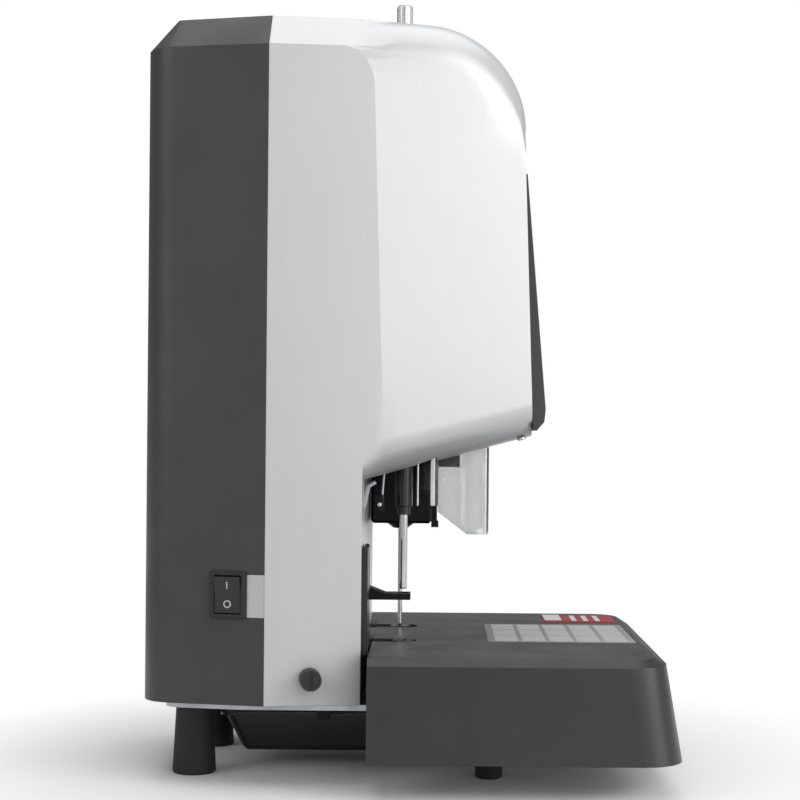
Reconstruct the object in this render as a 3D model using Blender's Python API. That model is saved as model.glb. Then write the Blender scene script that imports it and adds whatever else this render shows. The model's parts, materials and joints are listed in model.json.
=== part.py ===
# Desk binding machine: drills a stack of vouchers and closes a tube rivet in the hole.
# Metres, +Z up, the machine's front towards -Y, its left side towards -X, standing on z = 0.
import math

import bmesh
import bpy
from mathutils import Matrix, Vector

for leftover in list(bpy.data.objects):
    bpy.data.objects.remove(leftover)

# General fits
GAP = 0.0003
SLIDE_FIT = 0.0004
OVERRUN = 0.010
SHELL_WALL = 0.0025
SHEET = 0.0030

# Feet and base plate
FOOT_HEIGHT = 0.0500
FOOT_TOP_R = 0.0125
FOOT_BOTTOM_R = 0.0150
FOOT_EDGE = 0.0012
FOOT_RECESS_R = 0.0060
FOOT_RECESS_DEPTH = 0.0080
FRONT_FOOT_R = 0.0093
REAR_FOOT_X = 0.0530
REAR_FOOT_Y = 0.1480
FRONT_FOOT_X = 0.0640
FRONT_FOOT_Y = -0.0550
PLATE_THICK = 0.0040
PLATE_REAR_HALF = 0.0870
PLATE_WAIST_HALF = 0.0970
PLATE_WAIST_Y = 0.1100
PLATE_FRONT_HALF = 0.1250
PLATE_REAR_Y = 0.1640
PLATE_FRONT_Y = -0.1500
PLATE_CORNER_R = 0.0120

# Silver housing
SEAM_Y = 0.0950
COLUMN_FRONT_Y = 0.0318
SEAM_HALF = 0.1100
COLUMN_FRONT_HALF = 0.1010
HOUSING_LIFT = 0.0004
ROOF_Z = 0.5147
ROOF_FALL_SHARE = 0.0514
CHAMFER = 0.0228
HEAD_EDGE_R = 0.0100
CREASE_LOW_Y = 0.0181
CREASE_HIGH_Y = 0.0255
CREASE_LOW_Z = 0.2370
CREASE_HIGH_Z = 0.4650
CREASE_TURN_Y = 0.0199
CREASE_TURN_Z = 0.0260
HEAD_TAPER_SHARE = 0.3600
HEAD_UNDER_Z = 0.2120
HEAD_UNDER_SHARE = 0.2600
HEAD_BOTTOM_R = 0.0240
HEAD_BOTTOM_REAR_R = 0.0120
HEAD_ARC_R = 0.0700
HEAD_ARC_START_Y = -0.0100
HEAD_ARC_TURN_DEG = 84.0
HEAD_FRONT_LOW_Y = -0.0836
TAB_REACH = 0.0120
TAB_LOW_Z = 0.1124
TAB_HIGH_Z = 0.1409
MOUTH_HALF = 0.0725
MOUTH_LOW_Z = 0.1960
MOUTH_FRONT_Y = -0.0175
SLOT_SIDE_GAP = 0.0006
SLOT_END_GAP = 0.0010

# Dark rear cover
REAR_Y = 0.1790
REAR_END_HALF = 0.0932
REAR_CORNER_R = 0.0250
REAR_CHAMFER_Y = 0.0175
REAR_CROWN_R = 0.0060
VENT_COUNT = 7
VENT_PITCH = 0.0100
VENT_WIDE = 0.0700
VENT_HIGH = 0.0040
VENT_LOW_Z = 0.3300

# Front panel with window and keys
PANEL_HALF = 0.0590
PANEL_TOP_Z = 0.4140
PANEL_TOP_THICK = 0.0010
PANEL_KNEE_Y = -0.0924
PANEL_KNEE_Z = 0.2520
PANEL_LIP_Y = -0.0915
PANEL_LIP_Z = 0.2435
PANEL_FOOT_Z = 0.2375
PANEL_PLUG_HALF = 0.0460
PANEL_PLUG_DEEP = 0.0040
PANEL_PLUG_MARGIN = 0.0200
WINDOW_HALF = 0.0280
WINDOW_HIGH = 0.0240
WINDOW_THICK = 0.0020
WINDOW_Z = 0.3600
KEY_R = 0.0070
KEY_DEEP = 0.0050
KEY_PROUD = 0.0012
KEY_TRAVEL = 0.0008
KEY_X = 0.0260
KEY_Z = 0.3000

# Table cover
TABLE_TOP_Z = 0.0909
TABLE_SHOULDER_Z = 0.0860
TABLE_FLOOR_Z = 0.0235
TABLE_REAR_Y = 0.0260
TABLE_TOP_HALF = 0.1390
TABLE_SHOULDER_HALF = 0.1440
TABLE_FLOOR_HALF = 0.1470
TABLE_TOP_FRONT_Y = -0.1610
TABLE_SHOULDER_FRONT_Y = -0.1690
TABLE_FLOOR_FRONT_Y = -0.1795
TABLE_CORNER_R = 0.0280
TABLE_TOP_CORNER_R = 0.0200
POST_R = 0.0050
POST_X = 0.1050
POST_FRONT_Y = -0.1300
POST_REAR_Y = -0.0100
CHANNEL_HALF = 0.0088
CHANNEL_ROUND_SHARE = 0.9
CHANNEL_FRONT_Y = -0.0046

# Stations
STATION_X = 0.0445
DRILL_Y = 0.0050
RIVET_Y = 0.0088
PAD_R = 0.0076
PAD_HOLE_R = 0.0032
PAD_THICK = 0.0060
PAD_RISE = 0.0003
HOLDER_HALF = 0.0084
HOLDER_REAR_Y = 0.0240
HOLDER_DROP = 0.0022
DIE_R = 0.0076
DIE_CUP_R = 0.0032
DIE_CUP_DEEP = 0.0015
CHUTE_TOP_R = 0.0062
CHUTE_WALL = 0.0012
CHUTE_LOW_X = -0.0240

# Mechanism frame
CHEEK_INSET = 0.0360
CHEEK_X = SEAM_HALF - CHEEK_INSET
CHEEK_FRONT_Y = -0.0280
CHEEK_COLUMN_Y = 0.0440
CHEEK_REAR_Y = 0.1300
CHEEK_ARM_Z = 0.2450
CHEEK_TOP_Z = 0.4580
CHEEK_CUTOUT_HALF_Y = 0.0200
CHEEK_CUTOUT_LOW_Z = 0.1000
CHEEK_CUTOUT_HIGH_Z = 0.2100
CHEEK_CUTOUT_R = 0.0080
MID_PLATE_Z = 0.2620
MID_PLATE_THICK = 0.0060
TOP_PLATE_Z = 0.4400
TOP_PLATE_THICK = 0.0060
DECK_REAR_Y = 0.1000

# Feed drives, one for each station
ROD_R = 0.0050
ROD_REACH_X = 0.0220
ROD_Y = 0.0450
SCREW_R = 0.0040
SCREW_DEPTH_SHARE = 0.4
NUT_R = 0.0090
NUT_FLANGE_R = 0.0125
NUT_FLANGE = 0.0030
NUT_LONG = 0.0160
FEED_MOTOR_R = 0.0180
FEED_MOTOR_LONG = 0.0480
MOTOR_SHAFT_R = 0.0020

# Drill unit
DRILL_CARRIAGE_LOW_Z = 0.3300
DRILL_CARRIAGE_HIGH_Z = 0.3900
CARRIAGE_HALF = 0.0275
CARRIAGE_FRONT_Y = -0.0060
CARRIAGE_REAR_Y = 0.0540
CARRIAGE_EDGE = 0.0030
MOTOR_SHELF = 0.0060
MOTOR_SHELF_REAR_Y = 0.1010
QUILL_R = 0.0062
QUILL_FOOT_Z = 0.1843
SPINDLE_R = 0.0035
COLLAR_R = 0.0045
COLLAR_FOOT_Z = 0.1784
DRILL_R = 0.00285
DRILL_BORE_R = 0.0020
DRILL_TIP_Z = 0.1269
DRILL_SHANK = 0.0150
DRILL_LIP = 0.0012
DRILL_MOTOR_R = 0.0180
DRILL_MOTOR_Y = 0.0800
DRILL_MOTOR_LONG = 0.0550
PULLEY_THICK = 0.0120
PULLEY_FLANGE = 0.0015
PULLEY_RIM = 0.0018
SPINDLE_PULLEY_R = 0.0120
MOTOR_PULLEY_R = 0.0090
PULLEY_LIFT = 0.0090
BELT_THICK = 0.0016

# Rivet unit
RIVET_CARRIAGE_LOW_Z = 0.4000
RIVET_CARRIAGE_HIGH_Z = 0.4260
BLOCK_LEFT_X = 0.0180
BLOCK_RIGHT_X = 0.0700
BLOCK_FRONT_Y = -0.0143
BLOCK_REAR_Y = 0.0302
BLOCK_FLOOR_Z = 0.1688
BLOCK_EDGE = 0.0020
NOSE_TOP_R = 0.0116
NOSE_TIP_R = 0.0056
NOSE_FLOOR_Z = 0.1643
RAM_R = 0.0045
RAM_BORE_R = 0.0021
NEEDLE_R = 0.0017
KNOB_RISE = 0.0393
KNOB_TOP_Z = ROOF_Z + KNOB_RISE
KNOB_R = 0.0061
KNOB_HIGH = 0.0240
KNOB_STEM_R = 0.0035
KNOB_RIBS = 18
KNOB_RIB_DEEP = 0.0004
BAR_WIDE = 0.0040
BAR_FOOT_Z = 0.1650
BAR_TOP_Z = 0.1820
BAR_HALF = 0.0060
BAR_FOOT_WIDE = 0.0051
BAR_FOOT_HIGH = 0.0045

# Presser foot
ARM_HALF = 0.0080
ARM_FRONT_Y = -0.0002
ARM_LOW_Z = 0.1197
ARM_HIGH_Z = 0.1241
ARM_ROOT_Z = 0.1282
ARM_ROOT_Y = 0.0170
ARM_HOLE_R = 0.0042
HUB_HALF = 0.0090
HUB_FRONT_Y = 0.0370
HUB_REAR_Y = 0.0560
HUB_LOW_Z = 0.1120
HUB_HIGH_Z = 0.1450
PRESS_ROD_R = 0.0040
PRESS_ROD_Y = 0.0480
PRESS_TRAVEL = 0.0270

# Fence
FENCE_OUT_X = -0.0950
FENCE_IN_X = -0.0570
FENCE_ROUND_SHARE = 0.8
FENCE_FRONT_Y = 0.0277
FENCE_FOOT = 0.0006
FENCE_STEP_Z = 0.1020
FENCE_LOW_Z = 0.0870
FENCE_TOP_Z = 0.1588

# Fuse holder
FUSE_Y = 0.0650
FUSE_Z = 0.0727
FUSE_BODY_R = 0.0060
FUSE_BODY_LONG = 0.0220
FUSE_FLANGE = 0.0012
FUSE_CAP_R = 0.0071
FUSE_PROUD = 0.0130
FUSE_STEM_R = 0.0040
FUSE_RIBS = 24
FUSE_RIB_DEEP = 0.0005

# Chip tray on its hooks
TRAY_RIM_Z = 0.0380
TRAY_FLOOR_Z = 0.0105
TRAY_RIM_HALF = 0.0360
TRAY_TOP_HALF = 0.0320
TRAY_FLOOR_HALF = 0.0290
TRAY_REAR_Y = 0.1330
TRAY_FRONT_Y = -0.0200
TRAY_SLOPE_REAR = 0.0140
TRAY_SLOPE_FRONT = 0.0040
TRAY_RIM = 0.0030
TRAY_RIM_THICK = 0.0018
TRAY_WALL = 0.0016
TRAY_CORNER_R = 0.0070
HOOK_THICK = 0.0030
HOOK_LIP = 0.0026
HOOK_LIP_THICK = 0.0016
HOOK_LONG = 0.0090
HOOK_REAR_Y = 0.0600
HOOK_FRONT_Y = -0.0100
STRIP_HIGH = 0.0038

# Power switch, inlet and board
SWITCH_Y = 0.1195
SWITCH_Z = 0.1275
SWITCH_WIDE = 0.0241
SWITCH_HIGH = 0.0312
SWITCH_FLANGE = 0.0018
SWITCH_FRAME = 0.0028
SWITCH_DEEP = 0.0140
ROCKER_RISE = 0.0020
INLET_X = 0.0450
INLET_Z = 0.0900
INLET_WIDE = 0.0480
INLET_HIGH = 0.0270
INLET_DEEP = 0.0180
INLET_FLANGE = 0.0020
BOARD_LOW_Z = 0.1400
BOARD_HIGH_Z = 0.2400
BOARD_HALF = 0.0770
BOARD_THICK = 0.0016
SUPPLY_LOW_X = -0.0600
SUPPLY_HIGH_X = 0.0100
SUPPLY_HIGH = 0.0420
SUPPLY_FRONT_Y = 0.0700
SUPPLY_REAR_Y = 0.1280

# Transparent guard
GUARD_HALF = 0.0440
GUARD_WALL = 0.0020
GUARD_FRONT_Y = -0.0542
GUARD_FLOOR_Z = 0.1650
GUARD_HEEL_Z = 0.1805
GUARD_HEEL_Y = -0.0187
GUARD_TOE_Y = -0.0390
GUARD_BEND_R = 0.0040
BRACKET_FRONT_Y = -0.0340
BRACKET_LOW_Z = 0.2115

# Derived heights
PLATE_Z = FOOT_HEIGHT + PLATE_THICK
HOUSING_FLOOR_Z = PLATE_Z + HOUSING_LIFT
COLUMN_SHARE = (SEAM_HALF - COLUMN_FRONT_HALF) / (SEAM_Y - COLUMN_FRONT_Y)
REAR_SHARE = (SEAM_HALF - REAR_END_HALF) / (REAR_Y - SEAM_Y)
CREASE_SHARE = (CREASE_HIGH_Y - CREASE_LOW_Y) / (CREASE_HIGH_Z - CREASE_LOW_Z)


def roof(y):
    return ROOF_Z - ROOF_FALL_SHARE * (SEAM_Y - y)


def headUnder(y):
    return HEAD_UNDER_Z - HEAD_UNDER_SHARE * y


# Materials
def makeMaterial(name, color, roughness, metallic, alpha=1.0):
    made = bpy.data.materials.new(name)
    made.use_nodes = True
    shader = made.node_tree.nodes["Principled BSDF"]
    shader.inputs["Base Color"].default_value = (*color, 1.0)
    shader.inputs["Roughness"].default_value = roughness
    shader.inputs["Metallic"].default_value = metallic
    shader.inputs["Alpha"].default_value = alpha
    return made


SILVER = makeMaterial("silver_lacquer", (0.60, 0.60, 0.61), 0.42, 0.35)
DARK_GREY = makeMaterial("dark_grey_plastic", (0.055, 0.055, 0.057), 0.50, 0.0)
BLACK_PLASTIC = makeMaterial("black_plastic", (0.012, 0.012, 0.013), 0.45, 0.0)
BLACK_RUBBER = makeMaterial("black_rubber", (0.015, 0.015, 0.015), 0.80, 0.0)
BLACKED_STEEL = makeMaterial("blackened_steel", (0.020, 0.020, 0.022), 0.40, 0.80)
STEEL = makeMaterial("ground_steel", (0.55, 0.55, 0.56), 0.28, 1.0)
ZINC = makeMaterial("zinc_sheet", (0.48, 0.49, 0.50), 0.45, 0.90)
CAST = makeMaterial("cast_aluminium", (0.42, 0.43, 0.44), 0.55, 0.85)
BRASS = makeMaterial("brass", (0.60, 0.42, 0.15), 0.35, 1.0)
NYLON = makeMaterial("white_nylon", (0.75, 0.74, 0.70), 0.55, 0.0)
CLEAR = makeMaterial("clear_acrylic", (0.80, 0.82, 0.83), 0.10, 0.0, 0.35)
GREEN_BOARD = makeMaterial("green_board", (0.03, 0.16, 0.07), 0.50, 0.0)


# Building helpers
def makeObject(name, shape, stuff, origin=(0, 0, 0)):
    bmesh.ops.remove_doubles(shape, verts=shape.verts, dist=1e-6)
    bmesh.ops.recalc_face_normals(shape, faces=shape.faces)
    bmesh.ops.translate(shape, verts=shape.verts, vec=-Vector(origin))
    mesh = bpy.data.meshes.new(name)
    shape.to_mesh(mesh)
    shape.free()
    mesh.materials.append(stuff)
    mesh.shade_smooth()
    mesh.set_sharp_from_angle(angle=math.radians(32))
    made = bpy.data.objects.new(name, mesh)
    made.location = origin
    bpy.context.collection.objects.link(made)
    return made


def boxShape(low, high, edge=0.0):
    shape = bmesh.new()
    size = Vector(high) - Vector(low)
    middle = (Vector(high) + Vector(low)) / 2
    place = Matrix.Translation(middle) @ Matrix.Diagonal((*size, 1))
    bmesh.ops.create_cube(shape, size=1, matrix=place)
    if edge > 0:
        bmesh.ops.bevel(shape, geom=shape.edges[:], offset=edge, segments=1, profile=0.5, affect="EDGES")
    return shape


def box(name, low, high, stuff, edge=0.0, origin=(0, 0, 0)):
    return makeObject(name, boxShape(low, high, edge), stuff, origin)


def spot(axis, first, second, along):
    if axis == "X":
        return Vector((along, first, second))
    if axis == "Y":
        return Vector((first, along, second))
    return Vector((first, second, along))


def prism(name, outline, axis, start, stop, stuff, origin=(0, 0, 0)):
    shape = bmesh.new()
    corners = [shape.verts.new(spot(axis, first, second, start)) for first, second in outline]
    face = shape.faces.new(corners)
    pulled = bmesh.ops.extrude_face_region(shape, geom=[face])
    moved = [item for item in pulled["geom"] if isinstance(item, bmesh.types.BMVert)]
    bmesh.ops.translate(shape, verts=moved, vec=spot(axis, 0, 0, stop - start))
    return makeObject(name, shape, stuff, origin)


def turned(name, profile, stuff, center, axis="Z", sides=24, closed=False, origin=None):
    # The profile is a list of radius and height pairs, heights counted along the axis from zero.
    shape = bmesh.new()
    ring = [shape.verts.new((radius, 0, height)) for radius, height in profile]
    pairs = list(zip(ring, ring[1:]))
    if closed:
        pairs.append((ring[-1], ring[0]))
    lines = [shape.edges.new(pair) for pair in pairs]
    bmesh.ops.spin(
        shape, geom=ring + lines, cent=(0, 0, 0), axis=(0, 0, 1), angle=2 * math.pi, steps=sides, use_merge=True
    )
    if axis == "X":
        bmesh.ops.rotate(shape, verts=shape.verts, cent=(0, 0, 0), matrix=Matrix.Rotation(math.pi / 2, 3, "Y"))
    if axis == "Y":
        bmesh.ops.rotate(shape, verts=shape.verts, cent=(0, 0, 0), matrix=Matrix.Rotation(-math.pi / 2, 3, "X"))
    x, y = center[0], center[1]
    height = center[2] if len(center) > 2 else 0
    bmesh.ops.translate(shape, verts=shape.verts, vec=(x, y, height))
    return makeObject(name, shape, stuff, origin or (0, 0, 0))


def rod(name, center, low, high, radius, stuff, axis="Z", sides=24, edge=0.0, origin=None):
    if edge > 0:
        profile = [(0, low), (radius - edge, low), (radius, low + edge)]
        profile += [(radius, high - edge), (radius - edge, high), (0, high)]
    else:
        profile = [(0, low), (radius, low), (radius, high), (0, high)]
    return turned(name, profile, stuff, center, axis, sides, origin=origin)


def tube(name, center, low, high, radius, bore, stuff, axis="Z", sides=24, origin=None):
    profile = [(bore, low), (radius, low), (radius, high), (bore, high)]
    return turned(name, profile, stuff, center, axis, sides, closed=True, origin=origin)


def loft(name, rings, stuff, origin=(0, 0, 0)):
    shape = bmesh.new()
    rows = [[shape.verts.new(point) for point in ring] for ring in rings]
    count = len(rings[0])
    for near, far in zip(rows, rows[1:]):
        for step in range(count):
            after = (step + 1) % count
            shape.faces.new((near[step], near[after], far[after], far[step]))
    shape.faces.new(rows[0])
    shape.faces.new(rows[-1])
    bmesh.ops.remove_doubles(shape, verts=shape.verts, dist=1e-6)
    warped = [face for face in shape.faces if len(face.verts) == 4]
    bmesh.ops.triangulate(shape, faces=warped)
    return makeObject(name, shape, stuff, origin)


def combine(target, tool, operation):
    step = target.modifiers.new(tool.name, "BOOLEAN")
    step.operation = operation
    step.solver = "EXACT"
    step.object = tool
    tool.hide_render = True
    tool.display_type = "WIRE"
    return target


def cut(target, *tools):
    for tool in tools:
        combine(target, tool, "DIFFERENCE")
    return target


def fuse(target, *tools):
    for tool in tools:
        combine(target, tool, "UNION")
    return target


def rounded(points, radii, steps=4):
    # Replaces each corner that has a radius by a round of that radius.
    outline = []
    for place, (corner, radius) in enumerate(zip(points, radii)):
        if radius <= 0:
            outline.append(tuple(corner))
            continue
        here = Vector(corner)
        back = (Vector(points[place - 1]) - here).normalized()
        ahead = (Vector(points[(place + 1) % len(points)]) - here).normalized()
        half = back.angle(ahead) / 2
        reach = radius / math.tan(half)
        middle = here + (back + ahead).normalized() * (radius / math.sin(half))
        first = here + back * reach - middle
        last = here + ahead * reach - middle
        sweep = first.angle_signed(last)
        for step in range(steps + 1):
            turn = Matrix.Rotation(-sweep * step / steps, 2)
            outline.append(tuple(middle + turn @ first))
    return outline


def ringAt(outline, height):
    return [(x, y, height) for x, y in outline]


def ribbed(radius, deep, ribs, center):
    outline = []
    for rib in range(ribs):
        for share, reach in ((0.0, radius), (0.5, radius), (0.6, radius - deep), (0.9, radius - deep)):
            angle = 2 * math.pi * (rib + share) / ribs
            outline.append((center[0] + reach * math.cos(angle), center[1] + reach * math.sin(angle)))
    return outline


# Base plate and feet
def makeFoot(name, x, y, bottomR, topR):
    profile = [
        (0, FOOT_RECESS_DEPTH),
        (FOOT_RECESS_R, FOOT_RECESS_DEPTH),
        (FOOT_RECESS_R, 0),
        (bottomR - FOOT_EDGE, 0),
        (bottomR, FOOT_EDGE),
        (topR, FOOT_HEIGHT - GAP),
        (0, FOOT_HEIGHT - GAP),
    ]
    return turned(name, profile, BLACK_RUBBER, (x, y), sides=28)


def makeBase():
    for side, sign in (("left", -1), ("right", 1)):
        makeFoot("rear_foot_" + side, sign * REAR_FOOT_X, REAR_FOOT_Y, FOOT_BOTTOM_R, FOOT_TOP_R)
        makeFoot("front_foot_" + side, sign * FRONT_FOOT_X, FRONT_FOOT_Y, FRONT_FOOT_R, FRONT_FOOT_R)
    corner = PLATE_CORNER_R
    right = [
        (PLATE_FRONT_HALF, PLATE_FRONT_Y),
        (PLATE_FRONT_HALF, TABLE_REAR_Y - SHELL_WALL),
        (PLATE_WAIST_HALF, TABLE_REAR_Y - SHELL_WALL),
        (PLATE_WAIST_HALF, PLATE_WAIST_Y),
        (PLATE_REAR_HALF, PLATE_REAR_Y),
    ]
    left = [(-x, y) for x, y in reversed(right)]
    radii = [corner, corner / 2, 0, 0, corner]
    outline = rounded(right + left, radii + radii[::-1])
    plate = prism("base_plate", outline, "Z", FOOT_HEIGHT, PLATE_Z, ZINC)
    hole = rod(
        "cut_chip_hole", (CHUTE_LOW_X, DRILL_Y), FOOT_HEIGHT - OVERRUN, PLATE_Z + OVERRUN,
        CHUTE_TOP_R + GAP, ZINC,
    )
    cut(plate, hole)


# Silver housing: one skin lofted along the machine from the seam to the head's front
def columnHalf(y):
    return SEAM_HALF - COLUMN_SHARE * (SEAM_Y - y)


def creaseLine(z):
    return CREASE_LOW_Y + CREASE_SHARE * (z - CREASE_LOW_Z)


def headHalf(y, z, turnBack):
    crease = creaseLine(z) + turnBack
    return columnHalf(crease) - HEAD_TAPER_SHARE * (crease - y)


CORNER_STEPS = 8
EDGE_FADE_SHARE = 0.6
BULGE_SHARE = 0.5
BULGE_MORE_SHARE = 0.207
TURN_STEPS = 4


def turnBackAt(step):
    return CREASE_TURN_Y * (1 - math.cos(math.pi / 2 * step / TURN_STEPS))


def turnUpAt(step):
    return CREASE_TURN_Z * math.sin(math.pi / 2 * step / TURN_STEPS)


def mirrorRows(rows):
    left = [(-x, y, z) for x, y, z in rows[1:-1]]
    return rows + left[::-1]


def cornerAngle(step):
    return math.pi / 2 * step / CORNER_STEPS


def columnRing(y, skin, floorZ, cornerR, filled):
    # One ring at the seam or at the column's front. A filled ring keeps the corner upright.
    turned_rows = []
    bottom = headUnder(y) + skin
    for step in range(CORNER_STEPS + 1):
        angle = cornerAngle(step)
        half = columnHalf(y) - skin
        rise = bottom + cornerR * (1 - math.cos(angle))
        if filled:
            share = step / CORNER_STEPS
            turned_rows.append((half, y, floorZ + (bottom + cornerR - floorZ) * share))
        else:
            turned_rows.append((half - cornerR * (1 - math.sin(angle)), y, rise))
    start = (0, y, floorZ if filled else bottom)
    rows = [start] + turned_rows
    for step in range(TURN_STEPS + 1):
        z = CREASE_HIGH_Z + turnUpAt(step)
        back = max(y, creaseLine(CREASE_HIGH_Z) + turnBackAt(step) + skin)
        rows.append((columnHalf(back) - skin, back, z))
    lastX, lastY, lastZ = rows[-1]
    top = roof(lastY) - skin
    inward = top - lastZ
    rows.append((lastX - CHAMFER / 2, lastY, lastZ + inward / 2))
    rows.append((lastX - CHAMFER, lastY, top))
    rows.append((0, lastY, top))
    return mirrorRows(rows)


def creaseRing(skin):
    rows = [(0, creaseLine(CREASE_LOW_Z) + skin, headUnder(CREASE_LOW_Y) + skin)]
    radius = HEAD_BOTTOM_R - skin
    for step in range(CORNER_STEPS + 1):
        angle = cornerAngle(step)
        z = headUnder(CREASE_LOW_Y) + skin + radius * (1 - math.cos(angle))
        y = creaseLine(z) + skin
        rows.append((columnHalf(y) - skin - radius * (1 - math.sin(angle)), y, z))
    for step in range(TURN_STEPS + 1):
        z = CREASE_HIGH_Z + turnUpAt(step)
        y = creaseLine(CREASE_HIGH_Z) + turnBackAt(step) + skin
        rows.append((columnHalf(y) - skin, y, z))
    lastX, lastY, lastZ = rows[-1]
    top = roof(lastY) - skin
    inward = top - lastZ
    rows.append((lastX - CHAMFER / 2, lastY, lastZ + inward / 2))
    rows.append((lastX - CHAMFER, lastY, top))
    rows.append((0, lastY, top))
    return mirrorRows(rows)


def headRing(top, low, skin, blend):
    # A ring across the line from the low to the top profile point.
    low = Vector(low)
    up = (Vector(top) - low).normalized()
    long = (Vector(top) - low).length
    radius = HEAD_BOTTOM_R - skin
    edge = HEAD_EDGE_R + (1 - blend) * (CHAMFER - HEAD_EDGE_R) * EDGE_FADE_SHARE
    rows = [(0, low.x, low.y)]
    for step in range(CORNER_STEPS + 1):
        angle = cornerAngle(step)
        at = low + up * (radius * (1 - math.cos(angle)))
        half = headHalf(at.x, at.y, 0) - skin
        rows.append((half - radius * (1 - math.sin(angle)), at.x, at.y))
    sideStart = radius
    sideStop = long - edge
    span = CREASE_HIGH_Z + CREASE_TURN_Z - headUnder(CREASE_LOW_Y) - HEAD_BOTTOM_R
    for step in range(TURN_STEPS + 1):
        share = (CREASE_HIGH_Z + turnUpAt(step) - headUnder(CREASE_LOW_Y) - HEAD_BOTTOM_R) / span
        at = low + up * (sideStart + (sideStop - sideStart) * share)
        rows.append((headHalf(at.x, at.y, turnBackAt(step)) - skin, at.x, at.y))
    lastX = rows[-1][0]
    bulge = BULGE_SHARE + BULGE_MORE_SHARE * blend
    at = low + up * (sideStop + edge * bulge)
    rows.append((lastX - edge * (1 - bulge), at.x, at.y))
    rows.append((lastX - edge, top[0], top[1]))
    rows.append((0, top[0], top[1]))
    return mirrorRows(rows)


def browMiddle():
    fall = math.atan(ROOF_FALL_SHARE)
    startY = HEAD_ARC_START_Y
    return Vector((startY + HEAD_ARC_R * math.sin(fall), roof(startY) - HEAD_ARC_R * math.cos(fall)))


def browEnd():
    angle = math.pi / 2 + math.atan(ROOF_FALL_SHARE) + math.radians(HEAD_ARC_TURN_DEG)
    return browMiddle() + Vector((HEAD_ARC_R * math.cos(angle), HEAD_ARC_R * math.sin(angle)))


def headSections(skin):
    # Top points run along the roof, round the brow and end where the front face starts.
    startY = HEAD_ARC_START_Y
    fall = math.atan(ROOF_FALL_SHARE)
    radius = HEAD_ARC_R
    middle = browMiddle()
    lowFront = (HEAD_FRONT_LOW_Y + skin, headUnder(HEAD_FRONT_LOW_Y) + skin)
    turn = math.radians(HEAD_ARC_TURN_DEG)
    steps = 7
    sections = []
    for step in range(steps + 1):
        share = step / steps
        angle = math.pi / 2 + fall + turn * share
        reach = radius - skin
        top = (middle.x + reach * math.cos(angle), middle.y + reach * math.sin(angle))
        lowY = startY + (lowFront[0] - startY) * share
        low = (lowY, headUnder(lowY) + skin)
        sections.append(headRing(top, low, skin, min(1, share * 2)))
    return sections


def housingRings(skin):
    openY = SEAM_Y + (OVERRUN if skin > 0 else 0)
    floorZ = HOUSING_FLOOR_Z - (OVERRUN if skin > 0 else 0)
    frontY = COLUMN_FRONT_Y + skin
    cornerR = HEAD_BOTTOM_REAR_R - skin
    rings = [
        columnRing(openY, skin, floorZ, cornerR, True),
        columnRing(frontY, skin, floorZ, cornerR, True),
        columnRing(frontY, skin, floorZ, cornerR, False),
        creaseRing(skin),
    ]
    return rings + headSections(skin)


def makeHousing():
    shell = loft("housing", housingRings(0), SILVER)
    hollow = loft("cut_housing_hollow", housingRings(SHELL_WALL), SILVER)
    tabRearY = SEAM_Y + TAB_REACH
    outer = -SEAM_HALF
    outerRear = outer + REAR_SHARE * TAB_REACH
    tabRoot = SEAM_Y - SHELL_WALL
    tab = prism(
        "join_switch_tab",
        [
            (outer + COLUMN_SHARE * SHELL_WALL + GAP, tabRoot),
            (outer + GAP, SEAM_Y),
            (outerRear + GAP, tabRearY),
            (outerRear + SHELL_WALL, tabRearY),
            (outer + SHELL_WALL, SEAM_Y),
            (outer + SHELL_WALL, tabRoot),
        ],
        "Z", TAB_LOW_Z, TAB_HIGH_Z, SILVER,
    )
    mouth = box(
        "cut_mouth", (-MOUTH_HALF, MOUTH_FRONT_Y, MOUTH_LOW_Z),
        (MOUTH_HALF, COLUMN_FRONT_Y - SLOT_END_GAP, MID_PLATE_Z - MID_PLATE_THICK), SILVER,
    )
    slot = box(
        "cut_presser_slot",
        (-STATION_X - ARM_HALF - SLOT_SIDE_GAP, COLUMN_FRONT_Y - OVERRUN, ARM_LOW_Z - PRESS_TRAVEL - SLOT_END_GAP),
        (-STATION_X + ARM_HALF + SLOT_SIDE_GAP, COLUMN_FRONT_Y + OVERRUN, ARM_ROOT_Z + SLOT_END_GAP), SILVER,
    )
    panelDoor = panelPlug("cut_panel_door", SLIDE_FIT, OVERRUN)
    fuseHole = rod(
        "cut_fuse_hole", (0, 0, 0), -OVERRUN, OVERRUN, FUSE_BODY_R + GAP, SILVER, axis="X", sides=24
    )
    needleHole = rod(
        "cut_needle_hole", (STATION_X, RIVET_Y), TOP_PLATE_Z + OVERRUN, ROOF_Z + OVERRUN,
        KNOB_STEM_R + SLIDE_FIT, SILVER, sides=16,
    )
    cut(shell, hollow)
    fuse(shell, tab)
    cut(shell, mouth, slot, panelDoor, seatOnColumn(fuseHole), needleHole)


# Rear cover
def rearOutline(half, bendHalf, seamY, rearY, cornerR):
    points = [(-half, seamY), (half, seamY), (bendHalf, rearY), (-bendHalf, rearY)]
    return rounded(points, [0, 0, cornerR, cornerR], steps=6)


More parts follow.
